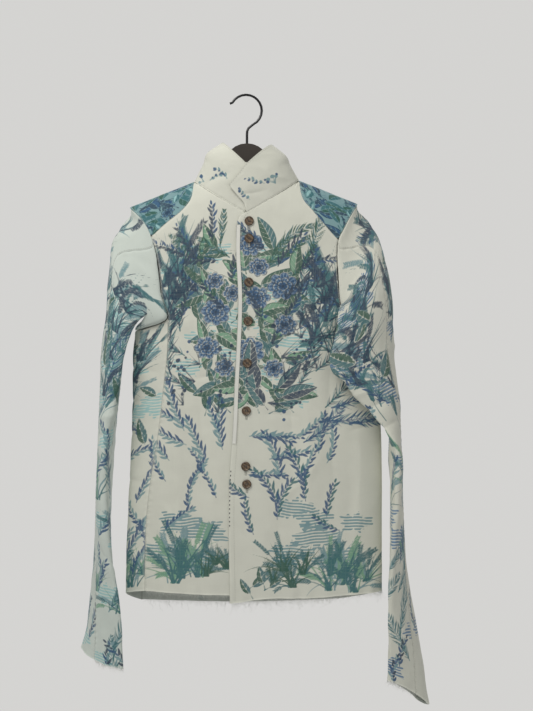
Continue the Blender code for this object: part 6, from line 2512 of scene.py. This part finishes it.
def main() -> None:
    """Load the frame and build every piece in order."""
    logging.basicConfig(level=logging.INFO, format="%(name)s: %(message)s")
    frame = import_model()
    Studio().build()

    groups = Groups(print_group(), weave_group(), wear_and_seam_shade_group())
    canvas = CanvasFinish("printed canvas", (0.71, 0.715, 0.625)).material(groups)
    right_canvas = CanvasFinish("canvas of the right sleeve", (0.63, 0.69, 0.635)).material(groups)
    yoke_canvas = CanvasFinish("canvas of the yoke", (0.22, 0.37, 0.39)).material(groups)
    plain_canvas = CanvasFinish("unprinted edge canvas", (0.76, 0.76, 0.70)).material(groups)
    # The inner face gets a darker copy of the cloth colour as painted shade, with the print faintly showing
    # through.
    lining = CanvasFinish("inner side of the canvas with painted shade", (0.50, 0.53, 0.48), cover=0.22,
                          bump=0.15).material(groups)
    loose = ThreadFinish("frayed cotton", (0.80, 0.80, 0.74), (0.52, 0.54, 0.50)).material()
    sewing = ThreadFinish("sewing thread", (0.62, 0.62, 0.55), (0.40, 0.41, 0.37)).material()
    dark_thread = ThreadFinish("dark thread", (0.10, 0.10, 0.10), (0.03, 0.03, 0.04)).material()

    body, yoke, collar = body_part(), yoke_part(), collar_part()
    right = sleeve_part("right", RIGHT, 270.0, Ink.AQUA, 51,
                        ((0.193, 0.712, 0.0610), (0.170, 0.716, 0.0985)))
    left = sleeve_part("left", LEFT, 262.0, Ink.LILAC, 61,
                       ((0.184, 0.777, 0.0756), (0.164, 0.809, 0.1051)))
    edge = FrontEdge()
    strip = edge.strip()
    body.build(canvas, lining)
    yoke.build(yoke_canvas, lining)
    collar.build(canvas, lining)
    right.build(right_canvas, lining)
    left.build(canvas, lining)
    strip.build(plain_canvas, plain_canvas)

    frays = (
        FrayedEdge("hem_fringe_front_left", body.cut("front_left"), 0.01, 0.97, seed=71),
        FrayedEdge("hem_fringe_front_right", body.cut("front_right"), 0.01, 0.82, seed=72),
        FrayedEdge("hem_fringe_back", body.cut("back"), 0.02, 0.98, spacing=0.8, seed=73),
        FrayedEdge("cuff_fringe_right", right.cut("sleeve_right_under"), 0.0, 1.0, 6.0, 11.0,
                   seed=74),
        FrayedEdge("cuff_fringe_left", left.cut("sleeve_left_under"), 0.0, 1.0, 6.0, 11.0,
                   seed=75),
    )
    extras: dict[str, list[Any]] = {}
    for fray in frays:
        threads = keep_with_cloth(fray.build(loose))
        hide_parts(fray.node)
        extras.setdefault(fray.cut.name, []).append(threads)

    topstitching = Strands("topstitching")
    tracks = (
        (body.cut("front_left"), "first", 8.6), (body.cut("front_left"), "last", 2.4),
        (body.cut("front_right"), "first", 2.4), (yoke.cut("yoke"), "top", 2.2),
        (yoke.cut("yoke"), "low", 2.2), (collar.cut("collar"), "top", 2.2),
        (collar.cut("collar"), "low", 2.4), (body.cut("back"), "top", 2.4),
        (left.cut("sleeve_left_upper"), "last", 2.2),
        (right.cut("sleeve_right_upper"), "last", 2.2),
    )
    for cut, side, inset in tracks:
        topstitching.stitch_line(cut.seam_track(side, inset), edge.stitch, edge.gap, edge.thread)
    small = [keep_with_cloth(topstitching.build(sewing)),
             keep_with_cloth(edge.marks(dark_thread)),
             keep_with_cloth(edge.buttonholes(sewing)),
             keep_with_cloth(Buttons().threads(dark_thread))]
    extras.setdefault("front_left", []).extend(small)

    horn, board, hook = HornFinish("horn"), BoardFinish("hanger board"), WireFinish("hook wire")
    horn_material = horn.material()
    for number in range(1, len(BUTTONS) + 1):
        dress_node(frame["nodes"][f"button_{number}"], horn_material)
    dress_node(frame["nodes"]["hanger"], board.material())
    dress_node(frame["nodes"]["hanger_hook"], hook.material())

    for part in (body, yoke, collar, right, left, strip):
        part.declare(["hanger"], extras)


if __name__ == "__main__":
    main()
